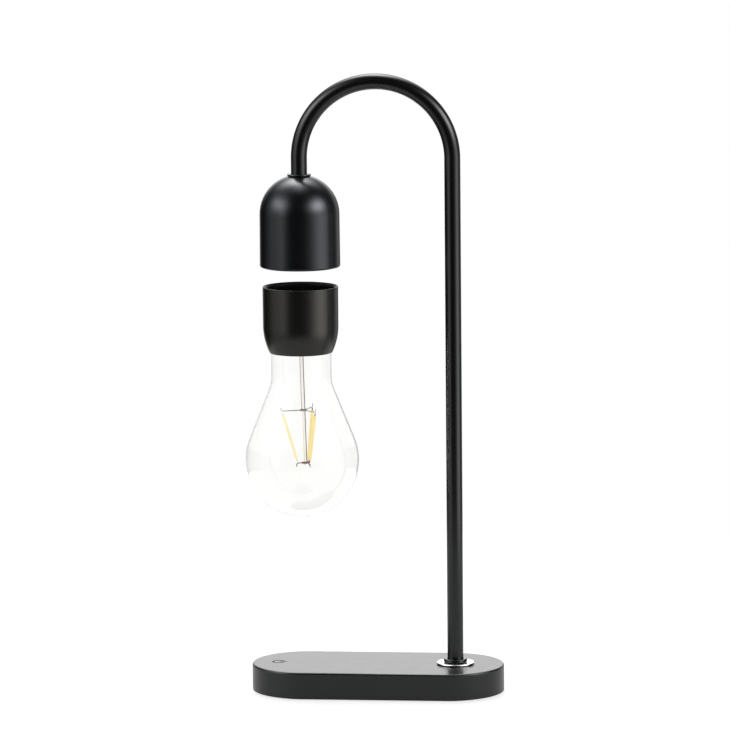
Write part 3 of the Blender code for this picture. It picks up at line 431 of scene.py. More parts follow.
@dataclass(frozen=True)
class GlowFinish:
    """A phosphor coat that glows: deeper at its ends and pale between, and a little grainy."""

    slot: str = "glowing_phosphor"
    body: tuple[float, float, float] = (0.10, 0.08, 0.04)
    pale: tuple[float, float, float] = (0.88, 0.80, 0.46)
    deep: tuple[float, float, float] = (0.62, 0.32, 0.07)
    strength: float = 1.0
    grain: float = 0.0004

    def material(self, name: str, axis: Place) -> bpy.types.Material:
        """Makes the material; see Finish."""
        sketch = Sketch(name)
        along = sketch.node("ShaderNodeAttribute", attribute_name="along").outputs["Fac"]
        middle = sketch.sum("ABSOLUTE", sketch.sum("SUBTRACT", along, 0.5))
        grains = sketch.noise(self.grain)
        share = sketch.sum("ADD", sketch.spread(middle, 0, 1, 0.42, 0.5), sketch.spread(grains, 0, 0.2))
        sketch.set(
            Base_Color=tint(self.body),
            Emission_Color=sketch.blend(share, tint(self.pale), tint(self.deep)),
            Emission_Strength=self.strength,
            Roughness=0.5,
        )
        sketch.bump(grains, 0.00002)
        return sketch.material


PAINT = Finish(
    "satin_black_plastic",
    (0.0036, 0.0037, 0.0041),
    0.28,
    relief=Relief.PEEL,
    grain=0.0007,
    depth=0.0000012,
    variation=0.08,
    patch=0.02,
    gloss_variation=0.008,
    # Painted light: the faint blue tint on the reflections stands in for cool light.
    painted_light_tint=(0.96, 0.98, 1.0),
)
# The tube keeps the paint's painted blue tint on its reflections, standing in for cool light.
TUBE_PAINT = replace(
    PAINT, slot="satin_black_steel", colour=(0.0036, 0.0036, 0.0038), roughness=0.2, depth=0.0000004
)
METAL_PAINT = replace(
    PAINT,
    slot="satin_black_aluminium",
    colour=(0.0028, 0.0029, 0.0038),
    roughness=0.25,
    # Painted light: the dome's reflections are tinted blue, standing in for cool light.
    painted_light_tint=(0.89, 0.93, 1.0),
)
CAP_PLASTIC = replace(
    PAINT,
    slot="matt_black_plastic",
    colour=(0.0034, 0.0032, 0.0027),
    roughness=0.28,
    relief=Relief.MOULD,
    grain=0.00035,
    # Painted light: the cup's reflections are tinted warm, standing in for warm light.
    painted_light_tint=(1.0, 0.98, 0.9),
)
INNER_PLASTIC = Finish(
    "matt_black_plastic", (0.006, 0.006, 0.006), 0.7, grain=0.00035, depth=0.000008, specular=0.15
)
# Painted shade: the cup's cover is darker than the other inner plastic and has no reflection, standing in for
# the shade inside the cup.
SHADED_CUP_COVER = replace(INNER_PLASTIC, colour=(0.004, 0.004, 0.004), roughness=0.9, specular=0.0)
RUBBER = Finish("black_rubber", (0.022, 0.022, 0.022), 0.8, grain=0.0004, depth=0.00003)
SHEATH = Finish("black_cable_sheath", (0.013, 0.013, 0.013), 0.5, grain=0.0006)
PRINT = Finish("satin_black_plastic", (0.012, 0.012, 0.013), 0.8, grain=0.0002, specular=0.0)
POLISHED = Finish(
    "polished_steel",
    (0.88, 0.88, 0.87),
    0.24,
    1.0,
    Relief.TURNED,
    0.00008,
    0.000002,
    0.04,
    gloss_variation=0.03,
)
ZINC = Finish("zinc_plated_steel", (0.66, 0.68, 0.70), 0.3, 1.0, Relief.TURNED, 0.00012, 0.000004, 0.12)
ROLLED_STEEL = Finish("plain_steel", (0.5, 0.5, 0.51), 0.38, 1.0, Relief.ROLLED, 0.0002, 0.000006, 0.2)
NICKEL = Finish("nickel_plated_magnet", (0.74, 0.72, 0.68), 0.2, 1.0, Relief.TURNED, 0.0002, 0.000002, 0.06)
COPPER = Finish("copper_winding", (0.72, 0.33, 0.17), 0.3, 1.0, Relief.TURNED, 0.0005, 0.00001, 0.2, 0.004)
FERRITE = Finish("dark_ferrite", (0.05, 0.05, 0.055), 0.6, 0.0, Relief.MOULD, 0.0002, 0.00001, 0.3)
NYLON = Finish("white_nylon", (0.78, 0.78, 0.74), 0.5, grain=0.0004, variation=0.03)
DARK_WIRE = Finish(
    "dull_nickel_wire", (0.17, 0.15, 0.13), 0.4, 1.0, Relief.ROLLED, 0.0001, 0.000004, 0.2, 0.003
)
PALE_WIRE = replace(DARK_WIRE, colour=(0.36, 0.33, 0.29))
COPPERED_WIRE = replace(DARK_WIRE, colour=(0.24, 0.12, 0.08))
BOARD = BoardFinish("green_circuit_board", (0.02, 0.15, 0.06), 0.4)
GLASS = GlassFinish()
ROD_GLASS = GlassFinish(colour=(0.90, 0.88, 0.84), ior=1.52)
GLOW = GlowFinish()
GOLDEN_GLOW = GlowFinish(pale=(0.84, 0.70, 0.30))


@dataclass
class Assembly:
    """Pieces that ride on one body and share an axis."""

    body: str = "stand"
    axis: Place = (0.0, 0.0)

    def add(self, name: str, surface: Surface, finish: Finish, *nodes: str) -> bpy.types.Object:
        """Makes a piece of a surface.

        Args:
            name: the piece's name.
            surface: its shape, in place.
            finish: its finish.
            nodes: the frame's nodes that it stands for.

        Returns:
            The piece, riding on the assembly's body.
        """
        mesh = bpy.data.meshes.new(name)
        mesh.from_pydata(surface.points.tolist(), [], surface.faces.tolist())
        mesh.attributes.new("along", "FLOAT", "POINT").data.foreach_set("value", surface.along)
        shape = bmesh.new()
        shape.from_mesh(mesh)
        bmesh.ops.remove_doubles(shape, verts=shape.verts, dist=WELD_DISTANCE)
        bmesh.ops.recalc_face_normals(shape, faces=shape.faces)
        shape.to_mesh(mesh)
        shape.free()
        mesh.shade_smooth()
        mesh.set_sharp_from_angle(angle=SHARP_ANGLE)
        piece = bpy.data.objects.new(name, mesh)
        bpy.context.scene.collection.objects.link(piece)
        mesh.materials.append(finish.material(name, self.axis))
        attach(piece, self.body)
        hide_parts(*nodes)
        log.info("%s: %d faces on %s", name, len(mesh.polygons), self.body)
        return piece

    def keep(self, finish: Finish, *nodes: str) -> None:
        """Gives nodes of the frame, which keep their shapes, a finish."""
        for node in nodes:
            low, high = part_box(node)
            middle = (low + high) / 2
            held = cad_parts[node]
            held.data.materials.clear()
            held.data.materials.append(finish.material(node + "_finish", (middle.x, middle.y)))
            log.info("%s: kept, as %s", node, finish.slot)


@dataclass
class Base(Assembly):
    """The pill-shaped housing with its foot, touch mark and power socket."""

    length: float = 0.155
    width: float = 0.067
    rim: float = 0.001
    top: float = 0.0173
    wall: float = 0.0025
    roof: float = 0.0025
    edge: float = 0.0011
    rim_edge: float = 0.0003
    stem_x: float = STEM_X
    stem_hole: float = STEM_BORE
    arc_steps: int = 72
    straight_steps: int = 40
    socket_x: float = 0.0240
    socket_z: float = 0.0100
    socket_hole: float = 0.0042
    window_half_width: float = 0.0068
    window_half_height: float = 0.0045
    window_rows: int = 13
    pad_inset: float = 0.0040
    touch_x: float = -0.0614
    touch_radius: float = 0.0036
    touch_width: float = 0.00048
    touch_rise: float = 0.00008
    touch_gap: float = math.radians(38)
    board_top: float = 0.0052

    def section(self) -> np.ndarray:
        """The housing's wall as (offset from the outline, height), from its top to the roof's underside."""
        half = self.window_half_height
        window = self.socket_z + np.linspace(half, -half, self.window_rows)
        outer = sharp(np.stack([0 * window, window], axis=-1))
        inner = sharp(np.stack([0 * window - self.wall, window[::-1]], axis=-1))
        under = self.top - self.roof
        return rounded(
            [
                (-4 * self.edge, self.top, 0),
                (0, self.top, self.edge),
                *outer,
                (0, self.rim, self.rim_edge),
                (-self.wall, self.rim, self.rim_edge),
                *inner,
                (-self.wall, under, 0),
                (-self.wall - self.edge, under, 0),
            ],
            steps=8,
        )

    def housing(self) -> Surface:
        """The housing: the outline is offset by each row of the section, the flat top and the
        roof's underside run in to the stem's round hole, and the rear wall has a window for the
        socket's round mouth."""
        outline, outward = pill(self.length, self.width, self.arc_steps, self.straight_steps)
        section = self.section()
        rings = outline[None] + outward[None] * section[:, None, :1]
        heights = np.repeat(section[:, 1:], len(outline), axis=1)
        from_stem = outline - (self.stem_x, 0)
        hole = from_stem / np.linalg.norm(from_stem, axis=1, keepdims=True) * self.stem_hole
        hole += (self.stem_x, 0)
        flat = np.concatenate([hole[None], rings, hole[None]])
        level = np.concatenate([heights[:1], heights, heights[-1:]])
        points = np.concatenate([flat, level[..., None]], axis=-1)
        rows = np.abs(level[:, 0] - self.socket_z) < self.window_half_height + WELD_DISTANCE
        columns = (np.abs(outline[:, 0] - self.socket_x) < self.window_half_width) & (outline[:, 1] > 0)
        held_rows, held_columns = rows & np.roll(rows, -1), columns & np.roll(columns, -1)
        # The wall's outer and inner rows follow one another, with the rim's rows between them.
        window = held_rows[:, None] & held_columns[None]
        made = grid(points, True, ~window)
        outer, inner = np.split(np.flatnonzero(rows), 2)
        across = np.flatnonzero(columns)
        frames = [self.mouth(points[np.ix_(band, across)]) for band in (outer, inner[::-1])]
        for face, _ in frames:
            made = made + face
        return made + grid(np.stack([frames[0][1], frames[1][1]]), False)

    def mouth(self, patch: np.ndarray) -> tuple[Surface, np.ndarray]:
        """Fills a window of a wall up to the socket's round mouth.

        Each point of the window's edge is joined to the point of the circle that lies in line
        with it and the circle's centre.

        Args:
            patch: the wall's points in the window, as rows x columns x 3.

        Returns:
            The surface, and the circle's points.
        """
        edge = np.concatenate([patch[0, :-1], patch[:-1, -1], patch[-1, :0:-1], patch[:0:-1, 0]])
        centre = np.array((self.socket_x, patch[0, 0, 1], self.socket_z))
        out = edge - centre
        circle = centre + out / np.linalg.norm(out, axis=1, keepdims=True) * self.socket_hole
        return grid(np.stack([edge, circle]), False), circle

    def foot(self) -> Surface:
        """The pad: the outline is offset by each row of a flat section that starts and ends on
        the middle line."""
        outline, outward = pill(self.length, self.width, self.arc_steps, self.straight_steps)
        inset, rim = self.pad_inset, self.rim
        section = rounded(
            [
                (-self.width / 2, rim, 0),
                (-inset, rim, self.rim_edge),
                (-inset, 0, self.rim_edge),
                (-self.width / 2, 0, 0),
            ],
            steps=4,
        )
        rings = outline[None] + outward[None] * section[:, None, :1]
        heights = np.repeat(section[:, 1:], len(outline), axis=1)
        return grid(np.concatenate([rings, heights[..., None]], axis=-1), False)

    def touch_mark(self) -> Surface:
        """A printed ring with a gap, and a bar through the gap, flattened on the top."""
        gap = self.touch_gap
        ring = arc((self.touch_x, 0), self.touch_radius, gap, math.tau - gap, 64)
        bar = np.array([(0.0009, 0), (0.0022, 0), (0.0035, 0), (0.0047, 0)]) + (self.touch_x, 0)
        lines = [np.concatenate([line, np.full((len(line), 1), self.top)], axis=1) for line in (ring, bar)]
        radii = (self.touch_rise, self.touch_width)
        made = [swept(line, (0, 0, 1), radii, 16) for line in lines]
        return made[0] + made[1]

    def socket_ring(self) -> Surface:
        """The socket's round lip, in the housing's mouth: a turned ring laid along Y."""
        inner, outer, back, front = 0.0032, 0.0039, 0.0306, 0.0331
        profile = rounded(
            [(inner, front, 0.0003), (outer, front, 0.0002), (outer, back, 0), (inner, back, 0)], steps=4
        )
        return self.laid_back(turned(profile, 64))

    def socket_pin(self) -> Surface:
        """The socket's centre pin, with a rounded tip, laid along Y."""
        radius, back, front = 0.00105, 0.0210, 0.0282
        profile = rounded([(0, back, 0), (radius, back, 0), (radius, front, 0.0006), (0, front, 0)], steps=6)
        return self.laid_back(turned(profile, 32, closed=False))

    def laid_back(self, surface: Surface) -> Surface:
        """Turns what points up to point back along +Y, on the socket's axis."""
        turn = Matrix.Rotation(-RIGHT_ANGLE, 4, "X")
        return surface.placed(Matrix.Translation((self.socket_x, 0, self.socket_z)) @ turn)

    def build(self) -> None:
        """Makes every piece."""
        self.add("base_housing", self.housing(), PAINT, "base_shell")
        self.add("rubber_foot", self.foot(), RUBBER, "foot_pad")
        self.add("touch_mark", self.touch_mark(), PRINT)
        self.add("socket_ring", self.socket_ring(), INNER_PLASTIC)
        self.add("socket_contact", self.socket_pin(), ZINC, "power_socket_pin")
        self.keep(INNER_PLASTIC, "base_plate", "power_socket")
        self.keep(ZINC, "base_screw_1", "base_screw_2", "base_screw_3", "base_screw_4")
        self.keep(ROLLED_STEEL, "ballast_weight")
        self.keep(FERRITE, "coil_ferrite")
        self.keep(COPPER, "touch_electrode")
        self.keep(replace(BOARD, top=self.board_top), "base_circuit_board")


@dataclass
class Coil:
    """A ring wound from round wire: each side of its section ripples from turn to turn."""

    inner: float
    outer: float
    bottom: float
    top: float
    wire: float = 0.0005
    points_per_turn: int = 5
    steps: int = 72

    def side(self, start: Place, end: Place) -> np.ndarray:
        """One side of the section. The point at distance s is set in by
        wire / 4 (1 - |sin(pi s / wire)|), so each turn stands up as a half-round ridge."""
        start, end = np.array(start), np.array(end)
        run = end - start
        length = np.linalg.norm(run)
        turns = max(1, round(length / self.wire))
        share = np.linspace(0, 1, turns * self.points_per_turn, endpoint=False)
        inward = np.array((run[1], -run[0])) / length
        sink = self.wire / 4 * (1 - np.abs(np.sin(HALF_TURN * turns * share)))
        return start + share[:, None] * run + sink[:, None] * inward

    def surface(self, axis: Place) -> Surface:
        """The whole ring, round an axis."""
        low, high = self.bottom, self.top
        corners = [(self.inner, high), (self.outer, high), (self.outer, low), (self.inner, low)]
        sides = [self.side(corners[n], corners[(n + 1) % 4]) for n in range(4)]
        return turned(np.concatenate(sides), self.steps, axis)


@dataclass
class Stem(Assembly):
    """The bent tube with the washer and collars that it stands in."""

    foot: float = 0.0065
    tip: float = 0.3085
    stem_x: float = STEM_X
    bulb_x: float = BULB_X
    arch_height: float = 0.3286
    radius: float = 0.0049
    wall: float = 0.00115
    bore: float = STEM_BORE
    collar: float = 0.0073

    def tube(self) -> Surface:
        """The tube's outer wall carried up, round and down, and its inner wall carried back.

        The section at a path point is a circle square to the path, in the plane of Y and the
        path's normal.
        """
        centre = ((self.stem_x + self.bulb_x) / 2, self.arch_height)
        rise = np.linspace(self.foot, self.arch_height, 15)[:-1]
        bend = arc(centre, (self.stem_x - self.bulb_x) / 2, 0, HALF_TURN, 120)
        fall = np.linspace(self.arch_height, self.tip, 5)[1:]
        up = np.stack([0 * rise + self.stem_x, rise], axis=-1)
        down = np.stack([0 * fall + self.bulb_x, fall], axis=-1)
        run = np.concatenate([up, bend, down])
        path = np.stack([run[:, 0], 0 * run[:, 0], run[:, 1]], axis=-1)
        tangent = np.gradient(path, axis=0)
        tangent /= np.linalg.norm(tangent, axis=1, keepdims=True)
        side = np.array((0.0, 1.0, 0.0))
        across = np.cross(side, tangent)
        angles = np.linspace(0, math.tau, 64, endpoint=False)[None, :, None]
        ring = side * np.cos(angles) + across[:, None] * np.sin(angles)
        walls = [path[:, None] + ring * radius for radius in (self.radius, self.radius - self.wall)]
        return grid(np.concatenate([walls[0], walls[1][::-1]]), True)

    def ring(self, x: float, bottom: float, top: float, radius: float, edge: float) -> Surface:
        """A turned ring round the tube, with rounded outer edges."""
        small = edge / 2
        profile = rounded(
            [(self.bore, top, small), (radius, top, edge), (radius, bottom, edge), (self.bore, bottom, small)],
            hold=0.0001,
        )
        return turned(profile, 96, (x, 0))

    def build(self) -> None:
        """Makes every piece."""
        self.add("stem_pipe", self.tube(), TUBE_PAINT, "stem_tube")
        self.axis = (self.stem_x, 0)
        washer = self.ring(self.stem_x, 0.0176, 0.0185, 0.01145, 0.0003)
        self.add("washer_ring", washer, POLISHED, "stem_washer")
        collar = self.ring(self.stem_x, 0.0188, 0.0208, self.collar, 0.0006)
        self.add("foot_collar", collar, METAL_PAINT, "stem_collar")
        self.axis = (self.bulb_x, 0)
        collar = self.ring(self.bulb_x, 0.3180, 0.3190, self.collar, 0.00045)
        self.add("crown_collar", collar, METAL_PAINT, "head_collar")
        self.keep(SHEATH, "stem_lead")
        self.keep(ZINC, "stem_lock_washer", "stem_locknut", "head_locknut")


@dataclass
class Head(Assembly):
    """The dome with the electromagnet inside it."""

    radius: float = 0.0243
    mouth_radius: float = 0.0245
    wall: float = 0.0018
    bore: float = STEM_BORE
    flat: float = 0.3177
    flat_radius: float = 0.0069
    centre: float = 0.2944
    bottom: float = 0.2622
    ceiling: float = 0.3146
    edge: float = 0.0014
    board_top: float = 0.3000

    def dome(self) -> Surface:
        """The housing: flat under the collar, a quarter round, then a skirt that opens a little."""
        inner = self.radius - self.wall
        start = math.acos(self.flat_radius / self.radius)
        lift = math.asin((self.ceiling - self.centre) / inner)
        shoulder = arc((0, self.centre), self.radius, start, 0, 48)
        inside = arc((0, self.centre), inner, 0, lift, 24)
        return turned(
            rounded(
                [
                    (self.bore, self.flat, 0),
                    *sharp(shoulder),
                    (self.mouth_radius, self.bottom, self.edge),
                    (inner, self.bottom, 0.0002),
                    *sharp(inside),
                    (self.bore, self.ceiling, 0),
                ],
                steps=10,
            ),
            160,
            self.axis,
        )

    def disc(self) -> Surface:
        """The cover in the dome's mouth, with a shallow ring groove in its underside."""
        radius, bottom, top = 0.0222, 0.2627, 0.2642
        groove, half, sink = 0.0165, 0.0005, 0.0004
        return turned(
            rounded(
                [
                    (0, top, 0),
                    (radius, top, 0.0002),
                    (radius, bottom, 0.0003),
                    (groove + half, bottom, 0.00015),
                    (groove + half, bottom + sink, 0),
                    (groove - half, bottom + sink, 0),
                    (groove - half, bottom, 0.00015),
                    (0, bottom, 0),
                ]
            ),
            128,
            self.axis,
            closed=False,
        )

    def build(self) -> None:
        """Makes every piece."""
        self.add("head_dome", self.dome(), METAL_PAINT, "head_shell")
        self.add("head_disc", self.disc(), INNER_PLASTIC, "head_cover")
        winding = Coil(0.0056, 0.0126, 0.2663, 0.2867).surface(self.axis)
        self.add("magnet_turns", winding, COPPER, "magnet_winding")
        sender = Coil(0.0140, 0.0215, 0.2645, 0.2663, 0.0006).surface(self.axis)
        self.add("transmitter_turns", sender, COPPER, "transmitter_coil")
        self.keep(NYLON, "magnet_bobbin")
        self.keep(ROLLED_STEEL, "magnet_core")
        self.keep(INNER_PLASTIC, "hall_sensor")
        self.keep(NICKEL, "bias_magnet")
        self.keep(replace(BOARD, top=self.board_top), "head_circuit_board")


@dataclass
class FloatingCap(Assembly):
    """The cup that floats, with its magnet and receiver."""

    rim: float = 0.2503
    rim_radius: float = 0.02305
    waist: float = 0.2263
    waist_radius: float = 0.0230
    curve: float = 0.0375
    bottom: float = 0.2098
    neck: float = 0.0187
    ledge: float = 0.2358
    inner: float = 0.0215
    lip: float = 0.0004
    bevel: float = 0.0014
    board_top: float = 0.2377

    def cup(self) -> Surface:
        """The cup: nearly straight above, and drawn in along an arc below."""
        end = math.asin((self.waist - self.bottom) / self.curve)
        side = arc((self.waist_radius - self.curve, self.waist), self.curve, 0, -end, 24)
        return turned(
            rounded(
                [
                    (self.inner, self.rim - self.bevel, 0.0002),
                    (self.rim_radius - self.lip, self.rim, 0.0001),
                    (self.rim_radius, self.rim, 0.00015),
                    *sharp(side[:-1]),
                    (*side[-1], 0.0003),
                    (self.neck, self.bottom, 0),
                    (self.neck, self.ledge, 0),
                    (self.inner, self.ledge, 0),
                ],
                steps=6,
            ),
            160,
            self.axis,
        )

    def disc(self) -> Surface:
        """The cover in the cup's mouth, with a shallow ring groove."""
        radius, bottom, top = 0.0212, 0.2469, 0.2485
        groove, half, sink = 0.0165, 0.0004, 0.0003
        return turned(
            rounded(
                [
                    (0, top, 0),
                    (groove - half, top, 0.00015),
                    (groove - half, top - sink, 0),
                    (groove + half, top - sink, 0),
                    (groove + half, top, 0.00015),
                    (radius, top, 0.0003),
                    (radius, bottom, 0.0002),
                    (0, bottom, 0),
                ]
            ),
            128,
            self.axis,
            closed=False,
        )

    def build(self) -> None:
        """Makes every piece."""
        self.add("cap_cup", self.cup(), CAP_PLASTIC, "cap_shell")
        # The cover carries painted shade for the inside of the cup.
        self.add("cap_disc", self.disc(), SHADED_CUP_COVER, "cap_cover")
        self.keep(replace(BOARD, top=self.board_top), "receiver_board")
        self.keep(NICKEL, "lift_magnet")
        self.keep(NYLON, "magnet_holder")
        self.body = "front_sway_ring"
        receiver = Coil(0.0125, 0.0207, 0.2451, 0.2466).surface(self.axis)
        self.add("receiver_turns", receiver, COPPER, "receiver_coil")


@dataclass
class Bulb(Assembly):
    """The clear glass with its filaments."""

    neck_top: float = 0.2278
    neck_radius: float = 0.0184
    centre: float = 0.1435
    radius: float = 0.0347
    slope: float = math.radians(21.8)
    shoulder_radius: float = 0.022
    wall: float = 0.0004
    press_bottom: float = 0.2123
    tilt: float = math.radians(-1.5)
    upper_drop: float = 0.0380
    lower_drop: float = 0.0705
    upper_reach: float = 0.0133
    lower_reach: float = 0.0049
    turn: float = math.radians(190.8)
    rod: float = 0.0008
    rod_end: float = 0.0009
    arm: float = 0.0003
    arm_hub: float = 0.0021
    arm_bend: float = 0.0012
    arm_tip: float = 0.0020
    wire: float = 0.00025
    wire_offset: float = 0.00125
    wire_angle: float = math.radians(41)
    coat: float = 0.00105
    tab: float = 0.0012
    arms: int = 3

    def outline(self) -> tuple[np.ndarray, np.ndarray]:
        """The glass's outer side, from neck to foot, and the outward normal at each point.

        A straight neck runs into a concave arc, the arc into a cone, and the cone into a sphere,
        each at a tangent.
        """
        slope, bend = self.slope, self.shoulder_radius
        touch = np.array((self.radius * math.cos(slope), self.centre + self.radius * math.sin(slope)))
        hub_x = self.neck_radius + bend
        end_x = hub_x - bend * math.cos(slope)
        end_z = touch[1] + (touch[0] - end_x) / math.tan(slope)
        hub = (hub_x, end_z + bend * math.sin(slope))
        neck = np.stack([np.full(8, self.neck_radius), np.linspace(self.neck_top, hub[1], 9)[:-1]], axis=-1)
        shoulder = arc(hub, bend, HALF_TURN, HALF_TURN + slope, 20)
        share = np.linspace(0, 1, 14)[1:-1, None]
        cone = shoulder[-1] * (1 - share) + touch * share
        ball = arc((0, self.centre), self.radius, slope, -RIGHT_ANGLE, 96)
        points = np.concatenate([neck, shoulder, cone, ball])
        middle = (points - hub) / bend
        normals = np.concatenate([
            np.tile((1.0, 0.0), (len(neck), 1)),
            -middle[len(neck):len(neck) + len(shoulder)],
            np.tile((math.cos(slope), math.sin(slope)), (len(cone), 1)),
            (ball - (0, self.centre)) / self.radius,
        ])
        return points, normals

    def glass(self) -> Surface:
        """The outer side down to the foot, and the inner side, one wall further in, back up."""
        outer, normals = self.outline()
        outer[-1, 0], normals[-1] = 0, (0, -1)
        inner = outer - normals * self.wall
        return turned(np.concatenate([outer, inner[::-1]]), 160, self.axis, closed=True)

    def funnel(self) -> Surface:
        """The glass that closes the neck: its radius falls as the cube of the depth, down to the
        press."""
        top, foot, wide, narrow, wall = self.neck_top, 0.2158, 0.0172, 0.0030, 0.0010
        share = np.linspace(1, 0, 25)[:, None]
        flare = np.concatenate([narrow + (wide - narrow) * share**3, foot + (top - foot) * share], axis=1)
        inside = flare[::-1] - (wall, 0)
        ends = sharp(np.concatenate([[(0, foot)], inside, flare]))
        return turned(
            rounded([*ends, (narrow, self.press_bottom, 0.0006), (0, self.press_bottom, 0)]),
            96,
            self.axis,
            closed=False,
        )

    def mount_place(self) -> Matrix:
        """Where the filament mount hangs: under the press, a little askew."""
        foot = Vector((self.axis[0], 0, self.press_bottom - SEAT_GAP))
        return Matrix.Translation(foot) @ Matrix.Rotation(self.tilt, 4, "Y")

    def arm_path(self, number: int, reach: float, drop: float, tip: float) -> np.ndarray:
        """An arm's centreline: out from the hub, then bent along the filament by tip."""
        angle = self.turn + math.tau * number / self.arms
        out = reach + self.arm
        corners = [(self.arm_hub, -drop, 0), (out, -drop, self.arm_bend), (out, tip - drop, 0)]
        flat = rounded(corners, 6, 0.0001)
        return np.stack([flat[:, 0] * math.cos(angle), flat[:, 0] * math.sin(angle), flat[:, 1]], axis=-1)

    def star(self, reach: float, drop: float, tip: float) -> Surface:
        """A hub round the rod with one bent arm a filament."""
        inner, outer, half = 0.0017, 0.0023, 0.00045
        hub = rounded(
            [
                (inner, half - drop, 0.0001),
                (outer, half - drop, 0.0002),
                (outer, -half - drop, 0.0002),
                (inner, -half - drop, 0.0001),
            ],
            4,
            0.00005,
        )
        made = turned(hub, 48)
        for number in range(self.arms):
            angle = self.turn + math.tau * number / self.arms
            side = (-math.sin(angle), math.cos(angle), 0)
            made = made + swept(self.arm_path(number, reach, drop, tip), side, (self.arm, self.arm), 16)
        return made

    def filament_line(self, number: int) -> np.ndarray:
        """A filament's two ends, a seat gap inside the stars' arms."""
        angle = self.turn + math.tau * number / self.arms
        reach = self.arm + SEAT_GAP
        ends = ((self.upper_reach, -self.upper_drop - reach), (self.lower_reach, -self.lower_drop + reach))
        return np.array([
            ((out - self.arm) * math.cos(angle), (out - self.arm) * math.sin(angle), height)
            for out, height in ends
        ])

    def filament(self, number: int) -> tuple[Surface, Surface]:
        """A glowing bar and its two metal tabs: an oval and a flat section carried along its line."""
        top, foot = self.filament_line(number)
        way = (foot - top) / np.linalg.norm(foot - top)
        angle = self.turn + math.tau * number / self.arms
        side = (-math.sin(angle), math.cos(angle), 0)
        share = np.linspace(0, 1, 40)[:, None]
        start, end = top + way * (self.tab + self.coat), foot - way * (self.tab + self.coat)
        bar = swept(start + (end - start) * share, side, (self.coat, self.coat * 0.8), 24)
        tabs = []
        for tip, sign in ((top, 1), (foot, -1)):
            run = tip + sign * way * np.linspace(0, self.tab * 1.5, 5)[:, None]
            tabs.append(swept(run, side, (0.0005, 0.0001), 16))
        return bar, tabs[0] + tabs[1]

    def build(self) -> None:
        """Makes every piece."""
        self.add("bulb_glass", self.glass(), GLASS, "glass_envelope")
        self.add("neck_funnel", self.funnel(), GLASS, "glass_stem")
        mount = self.mount_place()
        foot = self.lower_drop + self.rod_end
        rod = swept(np.linspace((0, 0, -0.0001), (0, 0, -foot), 30), (0, 1, 0), (self.rod, self.rod), 32)
        self.add("glass_rod", rod.placed(mount), ROD_GLASS, "support_rod")
        wires = (
            ("upper", HALF_TURN - self.wire_angle, self.upper_drop),
            ("lower", self.wire_angle, self.lower_drop),
        )
        for name, angle, drop in wires:
            x, y = self.wire_offset * math.cos(angle), self.wire_offset * math.sin(angle)
            path = np.linspace((x, y, 0), (x, y, -drop), 30)
            wire = swept(path, (0, 1, 0), (self.wire, self.wire), 16)
            self.add(f"{name}_feed_wire", wire.placed(mount), DARK_WIRE, f"{name}_lead_wire")
        upper = self.star(self.upper_reach, self.upper_drop, self.arm_tip)
        lower = self.star(self.lower_reach, self.lower_drop, -self.arm_tip)
        self.add("upper_spider", upper.placed(mount), PALE_WIRE, "upper_wire_star")
        self.add("lower_spider", lower.placed(mount), COPPERED_WIRE, "lower_wire_star")
        for number in range(self.arms):
            bar, tabs = self.filament(number)
            coat = GOLDEN_GLOW if number else GLOW
            self.add(f"glow_bar_{number + 1}", bar.placed(mount), coat, f"filament_{number + 1}")
            self.add(f"glow_tabs_{number + 1}", tabs.placed(mount), DARK_WIRE)
        self.keep(DARK_WIRE, "bulb_lead_1", "bulb_lead_2")


@dataclass
class Charger(Assembly):
    """The flat coil under the base's top."""

    def build(self) -> None:
        """Makes the coil's turns."""
        low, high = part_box("charging_coil")
        self.axis = ((low.x + high.x) / 2, 0)
        turns = Coil(0.010, (high.x - low.x) / 2, low.z, high.z, 0.0006)
        self.add("charging_turns", turns.surface(self.axis), COPPER, "charging_coil")


@dataclass(frozen=True)
class Glow:
    """A soft lamp on the studio's far walls, in degrees; azimuth 0 is the front and 90 the right.

    It shines by level x exp(-(a^2 + e^2) / 2), where a is the azimuth from its middle over its
    width, and e the elevation from its middle over its height.
    """

    azimuth: float
    elevation: float
    width: float
    height: float
    level: float

    def light(self, sketch: Sketch, azimuth: object, elevation: object) -> bpy.types.NodeSocket:
        """The lamp's strength as seen in a direction."""
        turn = sketch.sum("SUBTRACT", azimuth, self.azimuth)
        turn = sketch.node("ShaderNodeMath", {0: turn, 1: 180.0, 2: -180.0}, operation="WRAP").outputs[0]
        turn = sketch.sum("POWER", sketch.sum("DIVIDE", turn, self.width), 2.0)
        lift = sketch.sum("SUBTRACT", elevation, self.elevation)
        lift = sketch.sum("POWER", sketch.sum("DIVIDE", lift, self.height), 2.0)
        fall = sketch.sum("MULTIPLY", sketch.sum("ADD", turn, lift), -0.5)
        return sketch.sum("MULTIPLY", sketch.sum("EXPONENT", fall), self.level)


